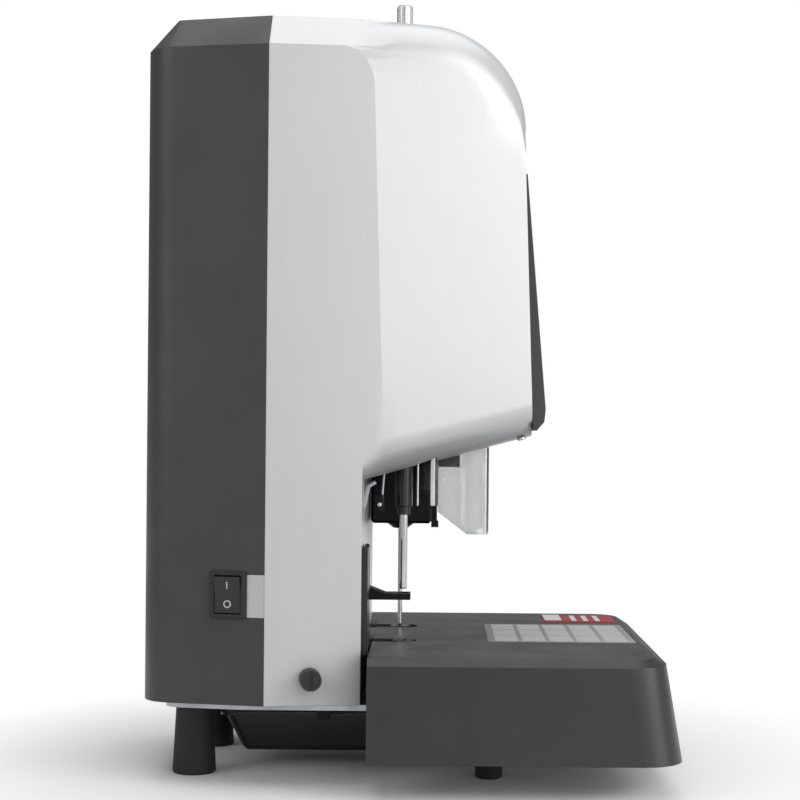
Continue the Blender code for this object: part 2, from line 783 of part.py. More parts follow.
def makeRearCover():
    seamY = SEAM_Y + GAP
    endHalf = REAR_END_HALF
    shoulderZ = CREASE_HIGH_Z + CREASE_TURN_Z
    full = rearOutline(SEAM_HALF, endHalf, seamY, REAR_Y, REAR_CORNER_R)
    crown = rearOutline(
        SEAM_HALF - CHAMFER, endHalf - CHAMFER, seamY, REAR_Y - REAR_CHAMFER_Y, REAR_CROWN_R
    )
    cover = loft(
        "rear_cover", [ringAt(full, HOUSING_FLOOR_Z), ringAt(full, shoulderZ), ringAt(crown, ROOF_Z)], DARK_GREY
    )
    wall = SHELL_WALL
    openY = seamY - OVERRUN
    fullIn = rearOutline(SEAM_HALF - wall, endHalf - wall, openY, REAR_Y - wall, REAR_CORNER_R - wall)
    crownIn = rearOutline(
        SEAM_HALF - CHAMFER - wall, endHalf - CHAMFER - wall, openY, REAR_Y - REAR_CHAMFER_Y - wall,
        REAR_CROWN_R - wall,
    )
    hollow = loft(
        "cut_rear_hollow",
        [
            ringAt(fullIn, HOUSING_FLOOR_Z - OVERRUN),
            ringAt(fullIn, shoulderZ - wall / 2),
            ringAt(crownIn, ROOF_Z - wall),
        ],
        DARK_GREY,
    )
    notch = box(
        "cut_tab_notch", (-SEAM_HALF - OVERRUN, seamY - OVERRUN, TAB_LOW_Z - GAP),
        (-SEAM_HALF + OVERRUN, SEAM_Y + TAB_REACH + GAP, TAB_HIGH_Z + GAP), DARK_GREY,
    )
    cut(cover, hollow, notch, switchHole())
    for slot in range(VENT_COUNT):
        low = VENT_LOW_Z + slot * VENT_PITCH
        vent = box(
            "cut_vent" + str(slot), (-VENT_WIDE / 2, REAR_Y - OVERRUN, low),
            (VENT_WIDE / 2, REAR_Y + OVERRUN, low + VENT_HIGH), DARK_GREY,
        )
        cut(cover, vent)
    inlet = box(
        "cut_inlet_hole",
        (INLET_X - INLET_WIDE / 2 + 2 * INLET_FLANGE, REAR_Y - OVERRUN, INLET_Z - INLET_HIGH / 2 + INLET_FLANGE),
        (INLET_X + INLET_WIDE / 2 - 2 * INLET_FLANGE, REAR_Y + OVERRUN, INLET_Z + INLET_HIGH / 2 - INLET_FLANGE),
        DARK_GREY,
    )
    cut(cover, inlet)


# Power switch, seated on the slanting side of the rear cover
SWITCH_LEAN = math.atan(REAR_SHARE)
SWITCH_SPOT = Vector((-SEAM_HALF + REAR_SHARE * (SWITCH_Y - SEAM_Y), SWITCH_Y, SWITCH_Z))


def seatOnSide(made, lift=0.0):
    # The piece is modelled round the origin with its outer face towards -X.
    made.rotation_euler = (0, 0, -SWITCH_LEAN)
    outward = Vector((-math.cos(SWITCH_LEAN), math.sin(SWITCH_LEAN), 0))
    made.location = SWITCH_SPOT + outward * lift
    return made


def switchHole():
    wide = SWITCH_WIDE / 2 - SWITCH_FRAME / 2 + GAP
    high = SWITCH_HIGH / 2 - SWITCH_FRAME / 2 + GAP
    return seatOnSide(box("cut_switch_hole", (-OVERRUN, -wide, -high), (OVERRUN, wide, high), DARK_GREY))


def makeSwitch():
    wide = SWITCH_WIDE / 2
    high = SWITCH_HIGH / 2
    body = SWITCH_FRAME / 2
    flange = box("switch_bezel", (-SWITCH_FLANGE - GAP, -wide, -high), (-GAP, wide, high), BLACK_PLASTIC, GAP)
    block = box(
        "join_switch_body", (-SWITCH_FLANGE, -wide + body, -high + body),
        (SWITCH_DEEP, wide - body, high - body), BLACK_PLASTIC,
    )
    well = box(
        "cut_switch_well", (-OVERRUN, -wide + SWITCH_FRAME, -high + SWITCH_FRAME),
        (SWITCH_DEEP - SWITCH_FLANGE, wide - SWITCH_FRAME, high - SWITCH_FRAME), BLACK_PLASTIC,
    )
    fuse(flange, block)
    cut(flange, well)
    for item in (flange, block, well):
        seatOnSide(item)
    # The rocker turns about an axis along the cover's side, half way up its well
    reach = high - SWITCH_FRAME - SLIDE_FIT
    across = wide - SWITCH_FRAME - SLIDE_FIT
    crown = SWITCH_FLANGE + ROCKER_RISE
    outline = [
        (reach - GAP, -SWITCH_FLANGE),
        (0, -SWITCH_FLANGE + GAP),
        (-reach + GAP, -crown),
        (-reach + GAP, -SWITCH_FLANGE + ROCKER_RISE),
        (-reach / 2, SWITCH_DEEP / 2),
        (reach / 2, SWITCH_DEEP / 2),
        (reach - GAP, ROCKER_RISE),
    ]
    shape = [(x, -z) for z, x in outline]
    seatOnSide(prism("switch_rocker", shape, "Y", -across, across, BLACK_PLASTIC))


# Front panel with its plug in the head's front
def frontLine(z):
    end = browEnd()
    share = (z - headUnder(HEAD_FRONT_LOW_Y)) / (end.y - headUnder(HEAD_FRONT_LOW_Y))
    return HEAD_FRONT_LOW_Y + (end.x - HEAD_FRONT_LOW_Y) * share


def panelPlug(name, slack, extra):
    low = PANEL_FOOT_Z + PANEL_PLUG_MARGIN
    high = PANEL_TOP_Z - PANEL_PLUG_MARGIN
    half = PANEL_PLUG_HALF + slack
    deep = PANEL_PLUG_DEEP + extra
    proud = 2 * GAP + extra
    outline = [
        (frontLine(low) - proud, low - slack),
        (frontLine(high) - proud, high + slack),
        (frontLine(high) + deep, high + slack),
        (frontLine(low) + deep, low - slack),
    ]
    return prism(name, outline, "X", -half, half, DARK_GREY)


PANEL_TOP_Y = frontLine(PANEL_TOP_Z) - GAP - PANEL_TOP_THICK
PANEL_LEAN = math.atan2(PANEL_TOP_Y - PANEL_KNEE_Y, PANEL_TOP_Z - PANEL_KNEE_Z)
FACE_OUT = Vector((0, -math.cos(PANEL_LEAN), math.sin(PANEL_LEAN)))


def panelFace(x, z):
    # The point of the panel's sloping face at a given height.
    share = (z - PANEL_KNEE_Z) / (PANEL_TOP_Z - PANEL_KNEE_Z)
    return Vector((x, PANEL_KNEE_Y + (PANEL_TOP_Y - PANEL_KNEE_Y) * share, z))


def seatOnPanel(made, x, z, lift=0.0):
    # The piece is modelled round the origin with its outer face towards -Y.
    made.rotation_euler = (-PANEL_LEAN, 0, 0)
    made.location = panelFace(x, z) + FACE_OUT * lift
    return made


def makePanel():
    outline = [
        (frontLine(PANEL_TOP_Z) - GAP, PANEL_TOP_Z),
        (PANEL_TOP_Y, PANEL_TOP_Z),
        (PANEL_KNEE_Y, PANEL_KNEE_Z),
        (PANEL_LIP_Y, PANEL_LIP_Z),
        (frontLine(PANEL_FOOT_Z) - GAP - SHELL_WALL, PANEL_FOOT_Z),
        (frontLine(PANEL_FOOT_Z) - GAP, PANEL_FOOT_Z),
    ]
    panel = prism("front_panel", outline, "X", -PANEL_HALF, PANEL_HALF, DARK_GREY)
    fuse(panel, panelPlug("join_panel_plug", 0, 0))
    pocket = box(
        "cut_window_pocket", (-WINDOW_HALF - GAP, -OVERRUN, -WINDOW_HIGH / 2 - GAP),
        (WINDOW_HALF + GAP, WINDOW_THICK, WINDOW_HIGH / 2 + GAP), DARK_GREY,
    )
    cut(panel, seatOnPanel(pocket, 0, WINDOW_Z))
    window = box(
        "display_window", (-WINDOW_HALF, -WINDOW_THICK + 2 * GAP, -WINDOW_HIGH / 2),
        (WINDOW_HALF, WINDOW_THICK - GAP, WINDOW_HIGH / 2), BLACK_PLASTIC,
    )
    seatOnPanel(window, 0, WINDOW_Z)
    for name, x in (("key_left", -KEY_X), ("key_middle", 0), ("key_right", KEY_X)):
        well = rod(
            "cut_" + name, (0, 0, 0), -OVERRUN, KEY_DEEP + KEY_TRAVEL + GAP, KEY_R + SLIDE_FIT,
            DARK_GREY, axis="Y", sides=20,
        )
        cut(panel, seatOnPanel(well, x, KEY_Z))
        key = rod(
            name, (0, 0, 0), -KEY_PROUD, KEY_DEEP, KEY_R, BLACK_PLASTIC, axis="Y", sides=20,
            edge=SLIDE_FIT,
        )
        seatOnPanel(key, x, KEY_Z)


# Table cover
def tableOutline(half, rearY, frontY, cornerR):
    points = [(-half, rearY), (-half, frontY), (half, frontY), (half, rearY)]
    return rounded(points, [0, cornerR, cornerR, 0], steps=6)


def channelOutline(x, half, rearY):
    points = [
        (x - half, rearY),
        (x - half, CHANNEL_FRONT_Y),
        (x + half, CHANNEL_FRONT_Y),
        (x + half, rearY),
    ]
    return rounded(points, [0, half * CHANNEL_ROUND_SHARE, half * CHANNEL_ROUND_SHARE, 0], steps=5)


def makeTable():
    levels = [
        (TABLE_FLOOR_Z, TABLE_FLOOR_HALF, TABLE_FLOOR_FRONT_Y, TABLE_CORNER_R),
        (TABLE_SHOULDER_Z, TABLE_SHOULDER_HALF, TABLE_SHOULDER_FRONT_Y, TABLE_CORNER_R),
        (TABLE_TOP_Z, TABLE_TOP_HALF, TABLE_TOP_FRONT_Y, TABLE_TOP_CORNER_R),
    ]
    wall = SHELL_WALL
    rings = [ringAt(tableOutline(half, TABLE_REAR_Y, frontY, radius), z) for z, half, frontY, radius in levels]
    cover = loft("table_cover", rings, DARK_GREY)
    openY = TABLE_REAR_Y + OVERRUN
    inner = []
    for (z, half, frontY, radius), drop in zip(levels, (-OVERRUN, -wall / 2, -wall)):
        outline = tableOutline(half - wall, openY, frontY + wall, radius - wall)
        inner.append(ringAt(outline, z + drop))
    cut(cover, loft("cut_table_hollow", inner, DARK_GREY))
    for row, y in (("front", POST_FRONT_Y), ("rear", POST_REAR_Y)):
        for side in (-1, 1):
            name = row + str(side)
            post = rod(
                "join_post_" + name, (side * POST_X, y), PLATE_Z + GAP, TABLE_TOP_Z - wall / 2, POST_R,
                DARK_GREY, sides=12,
            )
            pilot = rod(
                "cut_post_" + name, (side * POST_X, y), PLATE_Z - OVERRUN, PLATE_Z + 2 * POST_R, POST_R / 3,
                DARK_GREY, sides=8,
            )
            fuse(cover, post)
            cut(cover, pilot)
    for side in (-1, 1):
        channel = prism(
            "cut_channel" + str(side), channelOutline(side * STATION_X, CHANNEL_HALF, openY), "Z",
            TABLE_TOP_Z - 2 * wall, TABLE_TOP_Z + OVERRUN, DARK_GREY,
        )
        cut(cover, channel)


# What stands under the two stations: holders, pad, die, heater and chute
def makeStations():
    holderTop = TABLE_TOP_Z - HOLDER_DROP
    for name, side, y in (("pad_holder", -1, DRILL_Y), ("die_holder", 1, RIVET_Y)):
        outline = channelOutline(side * STATION_X, HOLDER_HALF, HOLDER_REAR_Y)
        outline = [(x, py + SLIDE_FIT) for x, py in outline]
        holder = prism(name, outline, "Z", PLATE_Z + GAP, holderTop, BLACKED_STEEL)
        radius = PAD_R if side < 0 else DIE_R
        seat = rod(
            "cut_" + name, (side * STATION_X, y), holderTop - PAD_THICK, holderTop + OVERRUN, radius + GAP,
            BLACKED_STEEL, sides=24,
        )
        cut(holder, seat)
    padHole = PAD_HOLE_R
    tube(
        "cutting_pad", (-STATION_X, DRILL_Y), holderTop - PAD_THICK + GAP, TABLE_TOP_Z + PAD_RISE, PAD_R, padHole,
        NYLON,
    )
    dieTop = TABLE_TOP_Z + PAD_RISE
    profile = [
        (0, holderTop - PAD_THICK + GAP),
        (DIE_R, holderTop - PAD_THICK + GAP),
        (DIE_R, dieTop - GAP),
        (DIE_R - GAP, dieTop),
        (DIE_CUP_R, dieTop),
        (0, dieTop - DIE_CUP_DEEP),
    ]
    turned("lower_die", profile, STEEL, (STATION_X, RIVET_Y))
    # Chute from the pad down to the chip hole in the base plate
    top = Vector((-STATION_X, DRILL_Y, holderTop - PAD_THICK - GAP))
    low = Vector((CHUTE_LOW_X, DRILL_Y, FOOT_HEIGHT - GAP))
    chuteHole = skewTube("cut_chute_room", top + Vector((0, 0, OVERRUN)), low, CHUTE_TOP_R + GAP)
    cut(bpy.data.objects["pad_holder"], chuteHole)
    chute = skewTube("chip_chute", top, low, CHUTE_TOP_R)
    bore = skewTube(
        "cut_chute_bore", top + Vector((0, 0, GAP)), low - Vector((0, 0, GAP)), CHUTE_TOP_R - CHUTE_WALL
    )
    cut(chute, bore)


def skewTube(name, top, low, radius):
    # A round duct with level mouths that leans from the top to the low mouth.
    sides = 16
    rings = []
    straight = Vector((low.x, low.y, PLATE_Z + GAP))
    elbow = Vector((top.x, top.y, (TABLE_TOP_Z + PLATE_Z) / 2))
    for middle in (low, straight, elbow, top):
        ring = []
        for side in range(sides):
            angle = 2 * math.pi * side / sides
            ring.append(middle + Vector((radius * math.cos(angle), radius * math.sin(angle), 0)))
        rings.append(ring)
    return loft(name, rings, ZINC)


# Mechanism frame
def makeFrame():
    thick = SHEET
    for side, sign in (("left", -1), ("right", 1)):
        outline = [
            (CHEEK_REAR_Y, PLATE_Z + GAP),
            (CHEEK_REAR_Y, CHEEK_TOP_Z),
            (CHEEK_FRONT_Y, CHEEK_TOP_Z),
            (CHEEK_FRONT_Y, CHEEK_ARM_Z),
            (CHEEK_COLUMN_Y, CHEEK_ARM_Z),
            (CHEEK_COLUMN_Y, PLATE_Z + GAP),
        ]
        corner = PLATE_CORNER_R
        outline = rounded(outline, [0, corner, corner, corner, 0, 0], steps=3)
        low = min(sign * CHEEK_X, sign * (CHEEK_X + thick))
        cheek = prism("frame_cheek_" + side, outline, "X", low, low + thick, ZINC)
        middleY = (CHEEK_COLUMN_Y + CHEEK_REAR_Y) / 2
        hatch = rounded(
            [
                (middleY - CHEEK_CUTOUT_HALF_Y, CHEEK_CUTOUT_LOW_Z),
                (middleY + CHEEK_CUTOUT_HALF_Y, CHEEK_CUTOUT_LOW_Z),
                (middleY + CHEEK_CUTOUT_HALF_Y, CHEEK_CUTOUT_HIGH_Z),
                (middleY - CHEEK_CUTOUT_HALF_Y, CHEEK_CUTOUT_HIGH_Z),
            ],
            [CHEEK_CUTOUT_R] * 4, steps=3,
        )
        cut(cheek, prism("cut_hatch_" + side, hatch, "X", low - OVERRUN, low + thick + OVERRUN, ZINC))
    half = CHEEK_X - GAP
    frontY = CHEEK_FRONT_Y + PLATE_CORNER_R
    middle = box(
        "middle_plate", (-half, frontY, MID_PLATE_Z), (half, DECK_REAR_Y, MID_PLATE_Z + MID_PLATE_THICK), ZINC
    )
    top = box("top_plate", (-half, frontY, TOP_PLATE_Z), (half, DECK_REAR_Y, TOP_PLATE_Z + TOP_PLATE_THICK), ZINC)
    for side, y, radius in ((-1, DRILL_Y, QUILL_R + SLIDE_FIT), (1, RIVET_Y, RAM_R + SLIDE_FIT)):
        cut(
            middle,
            rod(
                "cut_middle" + str(side), (side * STATION_X, y), MID_PLATE_Z - OVERRUN,
                MID_PLATE_Z + MID_PLATE_THICK + OVERRUN, radius, ZINC,
            ),
        )
    cut(
        top,
        rod(
            "cut_top_needle", (STATION_X, RIVET_Y), TOP_PLATE_Z - OVERRUN,
            TOP_PLATE_Z + TOP_PLATE_THICK + OVERRUN, NEEDLE_R + SLIDE_FIT, ZINC, sides=16,
        ),
    )
    for side in (-1, 1):
        cut(
            top,
            rod(
                "cut_top_screw" + str(side), (side * STATION_X, ROD_Y), TOP_PLATE_Z - OVERRUN,
                TOP_PLATE_Z + TOP_PLATE_THICK + OVERRUN, SCREW_R + SLIDE_FIT, ZINC, sides=20,
            ),
        )


# Feed drive of one station: guide rods, screw, nut and the hollow-shaft motor on the top plate
def makeFeed(station, side, carriageHigh):
    x = side * STATION_X
    rodLow = MID_PLATE_Z + MID_PLATE_THICK + GAP
    rodHigh = TOP_PLATE_Z - GAP
    for place, reach in (("a", -ROD_REACH_X), ("b", ROD_REACH_X)):
        rod(station + "_guide_rod_" + place, (x + reach, ROD_Y), rodLow, rodHigh, ROD_R, STEEL, sides=20)
    motorLow = TOP_PLATE_Z + TOP_PLATE_THICK + GAP
    motorHigh = motorLow + FEED_MOTOR_LONG
    screwTop = motorLow + FEED_MOTOR_LONG * SCREW_DEPTH_SHARE
    origin = (x, ROD_Y, rodLow)
    rod(station + "_feed_screw", (x, ROD_Y), rodLow, screwTop, SCREW_R, STEEL, sides=20, edge=GAP, origin=origin)
    edge = FOOT_EDGE
    bore = SCREW_R + SLIDE_FIT
    profile = [
        (bore, motorLow),
        (FEED_MOTOR_R - edge, motorLow),
        (FEED_MOTOR_R, motorLow + edge),
        (FEED_MOTOR_R, motorHigh - edge),
        (FEED_MOTOR_R - edge, motorHigh),
        (0, motorHigh),
        (0, screwTop + SLIDE_FIT),
        (bore, screwTop + SLIDE_FIT),
    ]
    turned(station + "_feed_motor", profile, ZINC, (x, ROD_Y), closed=True, sides=28)
    # The nut sits in the carriage, its flange on the carriage's top face
    nutLow = carriageHigh - NUT_LONG
    flangeHigh = carriageHigh + GAP + NUT_FLANGE
    profile = [
        (bore, nutLow),
        (NUT_R, nutLow),
        (NUT_R, carriageHigh + GAP),
        (NUT_FLANGE_R, carriageHigh + GAP),
        (NUT_FLANGE_R, flangeHigh),
        (bore, flangeHigh),
    ]
    turned(station + "_feed_nut", profile, BRASS, (x, ROD_Y), closed=True, sides=20)


def boreCarriage(body, station, side, low, high):
    x = side * STATION_X
    for place, reach in (("a", -ROD_REACH_X), ("b", ROD_REACH_X)):
        cut(
            body,
            rod(
                "cut_" + station + "_bore_" + place, (x + reach, ROD_Y), low - OVERRUN, high + OVERRUN,
                ROD_R + SLIDE_FIT, CAST, sides=20,
            ),
        )
    cut(
        body,
        rod(
            "cut_" + station + "_nut_seat", (x, ROD_Y), low - OVERRUN, high + OVERRUN, NUT_R + GAP, CAST, sides=20
        ),
    )


# Drill unit
def pulleyProfile(radius, low, high, bore):
    rim = radius + PULLEY_RIM
    flange = PULLEY_FLANGE
    return [
        (bore, low),
        (rim, low),
        (rim, low + flange),
        (radius, low + flange),
        (radius, high - flange),
        (rim, high - flange),
        (rim, high),
        (bore, high),
    ]


def beltOutline(nearY, nearR, farY, farR):
    # Outer or inner line of a belt round two pulleys set apart along Y.
    apart = farY - nearY
    lean = math.asin((nearR - farR) / apart)
    outline = []
    steps = 10
    for middle, radius, start, stop in (
        (nearY, nearR, math.pi - lean, 2 * math.pi + lean),
        (farY, farR, lean, math.pi - lean),
    ):
        for step in range(steps + 1):
            angle = start + (stop - start) * step / steps
            outline.append((-STATION_X + radius * math.cos(angle), middle + radius * math.sin(angle)))
    return outline


def makeDrill():
    x = -STATION_X
    low, high = DRILL_CARRIAGE_LOW_Z, DRILL_CARRIAGE_HIGH_Z
    body = box(
        "drill_carriage", (x - CARRIAGE_HALF, CARRIAGE_FRONT_Y, low), (x + CARRIAGE_HALF, CARRIAGE_REAR_Y, high),
        CAST, CARRIAGE_EDGE,
    )
    shelf = box(
        "join_motor_shelf",
        (x - DRILL_MOTOR_R, CARRIAGE_REAR_Y - 2 * CARRIAGE_EDGE, high - MOTOR_SHELF - CARRIAGE_EDGE),
        (x + DRILL_MOTOR_R, MOTOR_SHELF_REAR_Y, high - CARRIAGE_EDGE), CAST,
    )
    quill = rod("drill_quill", (x, DRILL_Y), QUILL_FOOT_Z, low - GAP, QUILL_R, BLACKED_STEEL, edge=GAP)
    quillBore = rod(
        "cut_quill_bore", (x, DRILL_Y), QUILL_FOOT_Z - OVERRUN, low + OVERRUN, SPINDLE_R + SLIDE_FIT, CAST,
        sides=20,
    )
    cut(quill, quillBore)
    bore = rod(
        "cut_spindle_bore", (x, DRILL_Y), low - OVERRUN, high + OVERRUN, SPINDLE_R + SLIDE_FIT, CAST,
        sides=20,
    )
    shaftHole = rod(
        "cut_motor_shaft", (x, DRILL_MOTOR_Y), low - OVERRUN, high + OVERRUN, MOTOR_SHAFT_R + 2 * SLIDE_FIT, CAST,
        sides=16,
    )
    relief = box(
        "cut_carriage_relief", (x - CARRIAGE_HALF - OVERRUN, CARRIAGE_FRONT_Y - OVERRUN, low + 4 * CARRIAGE_EDGE),
        (x + CARRIAGE_HALF + OVERRUN, CARRIAGE_FRONT_Y + CARRIAGE_EDGE, high - 4 * CARRIAGE_EDGE), CAST,
    )
    fuse(body, shelf)
    cut(body, bore, shaftHole, relief)
    boreCarriage(body, "drill", -1, low, high)
    makeFeed("drill", -1, high)
    # Spindle with its collar, drill, pulleys, belt and motor
    pulleyLow = high + PULLEY_LIFT
    pulleyHigh = pulleyLow + PULLEY_THICK
    spindleTop = pulleyHigh + PULLEY_LIFT / 3
    socketTop = COLLAR_FOOT_Z + DRILL_SHANK
    profile = [
        (DRILL_R + GAP / 2, COLLAR_FOOT_Z),
        (COLLAR_R - GAP, COLLAR_FOOT_Z),
        (COLLAR_R, COLLAR_FOOT_Z + GAP),
        (COLLAR_R, QUILL_FOOT_Z - GAP),
        (SPINDLE_R, QUILL_FOOT_Z - GAP),
        (SPINDLE_R, spindleTop),
        (DRILL_BORE_R, spindleTop),
        (DRILL_BORE_R, socketTop),
        (DRILL_R + GAP / 2, socketTop),
    ]
    axisSpot = (x, DRILL_Y, COLLAR_FOOT_Z)
    turned("spindle", profile, STEEL, (x, DRILL_Y), closed=True, origin=axisSpot)
    profile = [
        (DRILL_BORE_R, DRILL_TIP_Z + DRILL_LIP),
        ((DRILL_BORE_R + DRILL_R) / 2, DRILL_TIP_Z),
        (DRILL_R, DRILL_TIP_Z + DRILL_LIP),
        (DRILL_R, socketTop - GAP),
        (DRILL_BORE_R, socketTop - GAP),
    ]
    turned("hollow_drill", profile, STEEL, (x, DRILL_Y), closed=True, origin=axisSpot)
    profile = pulleyProfile(SPINDLE_PULLEY_R, pulleyLow, pulleyHigh, SPINDLE_R + GAP)
    turned("spindle_pulley", profile, CAST, (x, DRILL_Y), closed=True, origin=(x, DRILL_Y, pulleyLow))
    motorAxis = (x, DRILL_MOTOR_Y, pulleyLow)
    profile = pulleyProfile(MOTOR_PULLEY_R, pulleyLow, pulleyHigh, MOTOR_SHAFT_R)
    profile = [(0, pulleyLow)] + profile[1:-1] + [(0, pulleyHigh)]
    pulley = turned("motor_pulley", profile, CAST, (x, DRILL_MOTOR_Y), origin=motorAxis)
    shaft = rod(
        "join_pulley_shaft", (x, DRILL_MOTOR_Y), high - MOTOR_SHELF - CARRIAGE_EDGE + GAP,
        pulleyLow + GAP, MOTOR_SHAFT_R, CAST, sides=12,
    )
    fuse(pulley, shaft)
    inset = PULLEY_FLANGE + GAP
    belt = prism(
        "drive_belt",
        beltOutline(DRILL_Y, SPINDLE_PULLEY_R + GAP + BELT_THICK, DRILL_MOTOR_Y, MOTOR_PULLEY_R + GAP + BELT_THICK),
        "Z", pulleyLow + inset, pulleyHigh - inset, BLACK_RUBBER,
    )
    inner = prism(
        "cut_belt", beltOutline(DRILL_Y, SPINDLE_PULLEY_R + GAP, DRILL_MOTOR_Y, MOTOR_PULLEY_R + GAP), "Z",
        pulleyLow - OVERRUN, pulleyHigh + OVERRUN, BLACK_RUBBER,
    )
    cut(belt, inner)
    motorHigh = high - MOTOR_SHELF - CARRIAGE_EDGE - GAP
    rod(
        "drill_motor", (x, DRILL_MOTOR_Y), motorHigh - DRILL_MOTOR_LONG, motorHigh, DRILL_MOTOR_R, ZINC,
        sides=28, edge=FOOT_EDGE,
    )


# Rivet unit
def makeRivet():
    x = STATION_X
    low, high = RIVET_CARRIAGE_LOW_Z, RIVET_CARRIAGE_HIGH_Z
    body = box(
        "rivet_carriage", (x - CARRIAGE_HALF, CARRIAGE_FRONT_Y, low), (x + CARRIAGE_HALF, CARRIAGE_REAR_Y, high),
        CAST, CARRIAGE_EDGE,
    )
    cut(
        body,
        rod(
            "cut_rivet_needle", (x, RIVET_Y), low - OVERRUN, high + OVERRUN, NEEDLE_R + SLIDE_FIT, CAST, sides=16
        ),
    )
    boreCarriage(body, "rivet", 1, low, high)
    makeFeed("rivet", 1, high)
    # Tubular ram, seated against the carriage's underside
    profile = [
        (RAM_BORE_R, NOSE_FLOOR_Z - GAP),
        (RAM_R - GAP, NOSE_FLOOR_Z - GAP),
        (RAM_R, NOSE_FLOOR_Z),
        (RAM_R, low - GAP),
        (RAM_BORE_R, low - GAP),
    ]
    turned("rivet_ram", profile, STEEL, (x, RIVET_Y), closed=True, sides=20)
    # Black guide block under the middle plate, with its conical nose
    block = box(
        "rivet_block", (BLOCK_LEFT_X, BLOCK_FRONT_Y, BLOCK_FLOOR_Z),
        (BLOCK_RIGHT_X, BLOCK_REAR_Y, MID_PLATE_Z - GAP), BLACKED_STEEL, BLOCK_EDGE,
    )
    nose = turned(
        "join_nose",
        [
            (0, NOSE_FLOOR_Z),
            (NOSE_TIP_R, NOSE_FLOOR_Z),
            (NOSE_TOP_R, BLOCK_FLOOR_Z),
            (NOSE_TOP_R, BLOCK_FLOOR_Z + BLOCK_EDGE),
            (0, BLOCK_FLOOR_Z + BLOCK_EDGE),
        ],
        BLACKED_STEEL, (x, RIVET_Y),
    )
    bore = rod(
        "cut_ram_bore", (x, RIVET_Y), NOSE_FLOOR_Z - OVERRUN, MID_PLATE_Z + OVERRUN, RAM_R + SLIDE_FIT,
        BLACKED_STEEL,
    )
    bar = box(
        "join_front_bar", (x - BAR_HALF, BLOCK_FRONT_Y - BAR_WIDE, BAR_FOOT_Z + BAR_FOOT_HIGH / 2),
        (x + BAR_HALF, BLOCK_FRONT_Y + GAP, BAR_TOP_Z), BLACKED_STEEL,
    )
    barFoot = box(
        "join_bar_foot", (x - BAR_HALF, BLOCK_FRONT_Y - BAR_FOOT_WIDE, BAR_FOOT_Z),
        (x + BAR_HALF, BLOCK_FRONT_Y + GAP, BAR_FOOT_Z + BAR_FOOT_HIGH), BLACKED_STEEL,
    )
    fuse(block, nose, bar, barFoot)
    cut(block, bore)
    # Needle from the lower die up through ram and roof, with its knurled knob
    stemLow = roof(RIVET_Y) + SLIDE_FIT
    dieTop = TABLE_TOP_Z + PAD_RISE
    axisSpot = (x, RIVET_Y, dieTop)
    knobLow = KNOB_TOP_Z - KNOB_HIGH
    tip = NEEDLE_R / 2
    profile = [
        (0, dieTop - DIE_CUP_DEEP / 2 + GAP),
        (tip, dieTop + GAP),
        (NEEDLE_R, dieTop + NEEDLE_R),
        (NEEDLE_R, knobLow + KNOB_HIGH / 2),
        (0, knobLow + KNOB_HIGH / 2),
    ]
    turned("guide_needle", profile, STEEL, (x, RIVET_Y), sides=12, origin=axisSpot)
    grip = prism(
        "needle_knob", ribbed(KNOB_R, KNOB_RIB_DEEP, KNOB_RIBS, (x, RIVET_Y)), "Z", knobLow, KNOB_TOP_Z - FOOT_EDGE,
        STEEL, (x, RIVET_Y, knobLow),
    )
    cap = turned(
        "join_knob_cap",
        [
            (0, KNOB_TOP_Z - 2 * FOOT_EDGE),
            (KNOB_R - KNOB_RIB_DEEP, KNOB_TOP_Z - 2 * FOOT_EDGE),
            (KNOB_R - KNOB_RIB_DEEP, KNOB_TOP_Z - FOOT_EDGE + GAP),
            (KNOB_R - FOOT_EDGE - KNOB_RIB_DEEP, KNOB_TOP_Z),
            (0, KNOB_TOP_Z),
        ],
        STEEL, (x, RIVET_Y), sides=20,
    )
    stem = rod(
        "join_knob_stem", (x, RIVET_Y), stemLow, knobLow + 2 * GAP, KNOB_STEM_R, STEEL, sides=20
    )
    socket = rod(
        "cut_knob_socket", (x, RIVET_Y), stemLow - OVERRUN, knobLow + KNOB_HIGH / 2 + GAP, NEEDLE_R + GAP / 2,
        STEEL, sides=12,
    )
    fuse(grip, cap, stem)
    cut(grip, socket)


# Presser foot beside the drill
def makePresser():
    x = -STATION_X
    profile = [
        (ARM_FRONT_Y, ARM_LOW_Z),
        (HUB_FRONT_Y + GAP, ARM_LOW_Z),
        (HUB_FRONT_Y + GAP, ARM_ROOT_Z),
        (FENCE_FRONT_Y, ARM_ROOT_Z),
        (ARM_ROOT_Y, ARM_HIGH_Z),
        (ARM_FRONT_Y, ARM_HIGH_Z),
    ]
    arm = prism("presser_arm", profile, "X", x - ARM_HALF, x + ARM_HALF, BLACKED_STEEL)
    hub = box(
        "join_presser_hub", (x - HUB_HALF, HUB_FRONT_Y, HUB_LOW_Z), (x + HUB_HALF, HUB_REAR_Y, HUB_HIGH_Z),
        BLACKED_STEEL,
    )
    fuse(arm, hub)
    hole = rod(
        "cut_arm_hole", (x, DRILL_Y), ARM_LOW_Z - OVERRUN, ARM_HIGH_Z + OVERRUN, ARM_HOLE_R, BLACKED_STEEL, sides=20
    )
    guide = rod(
        "cut_hub_bore", (x, PRESS_ROD_Y), HUB_LOW_Z - OVERRUN, HUB_HIGH_Z + OVERRUN, PRESS_ROD_R + SLIDE_FIT,
        BLACKED_STEEL, sides=20,
    )
    cut(arm, hole, guide)
    rod("presser_rod", (x, PRESS_ROD_Y), PLATE_Z + GAP, MID_PLATE_Z - GAP, PRESS_ROD_R, STEEL, sides=20)


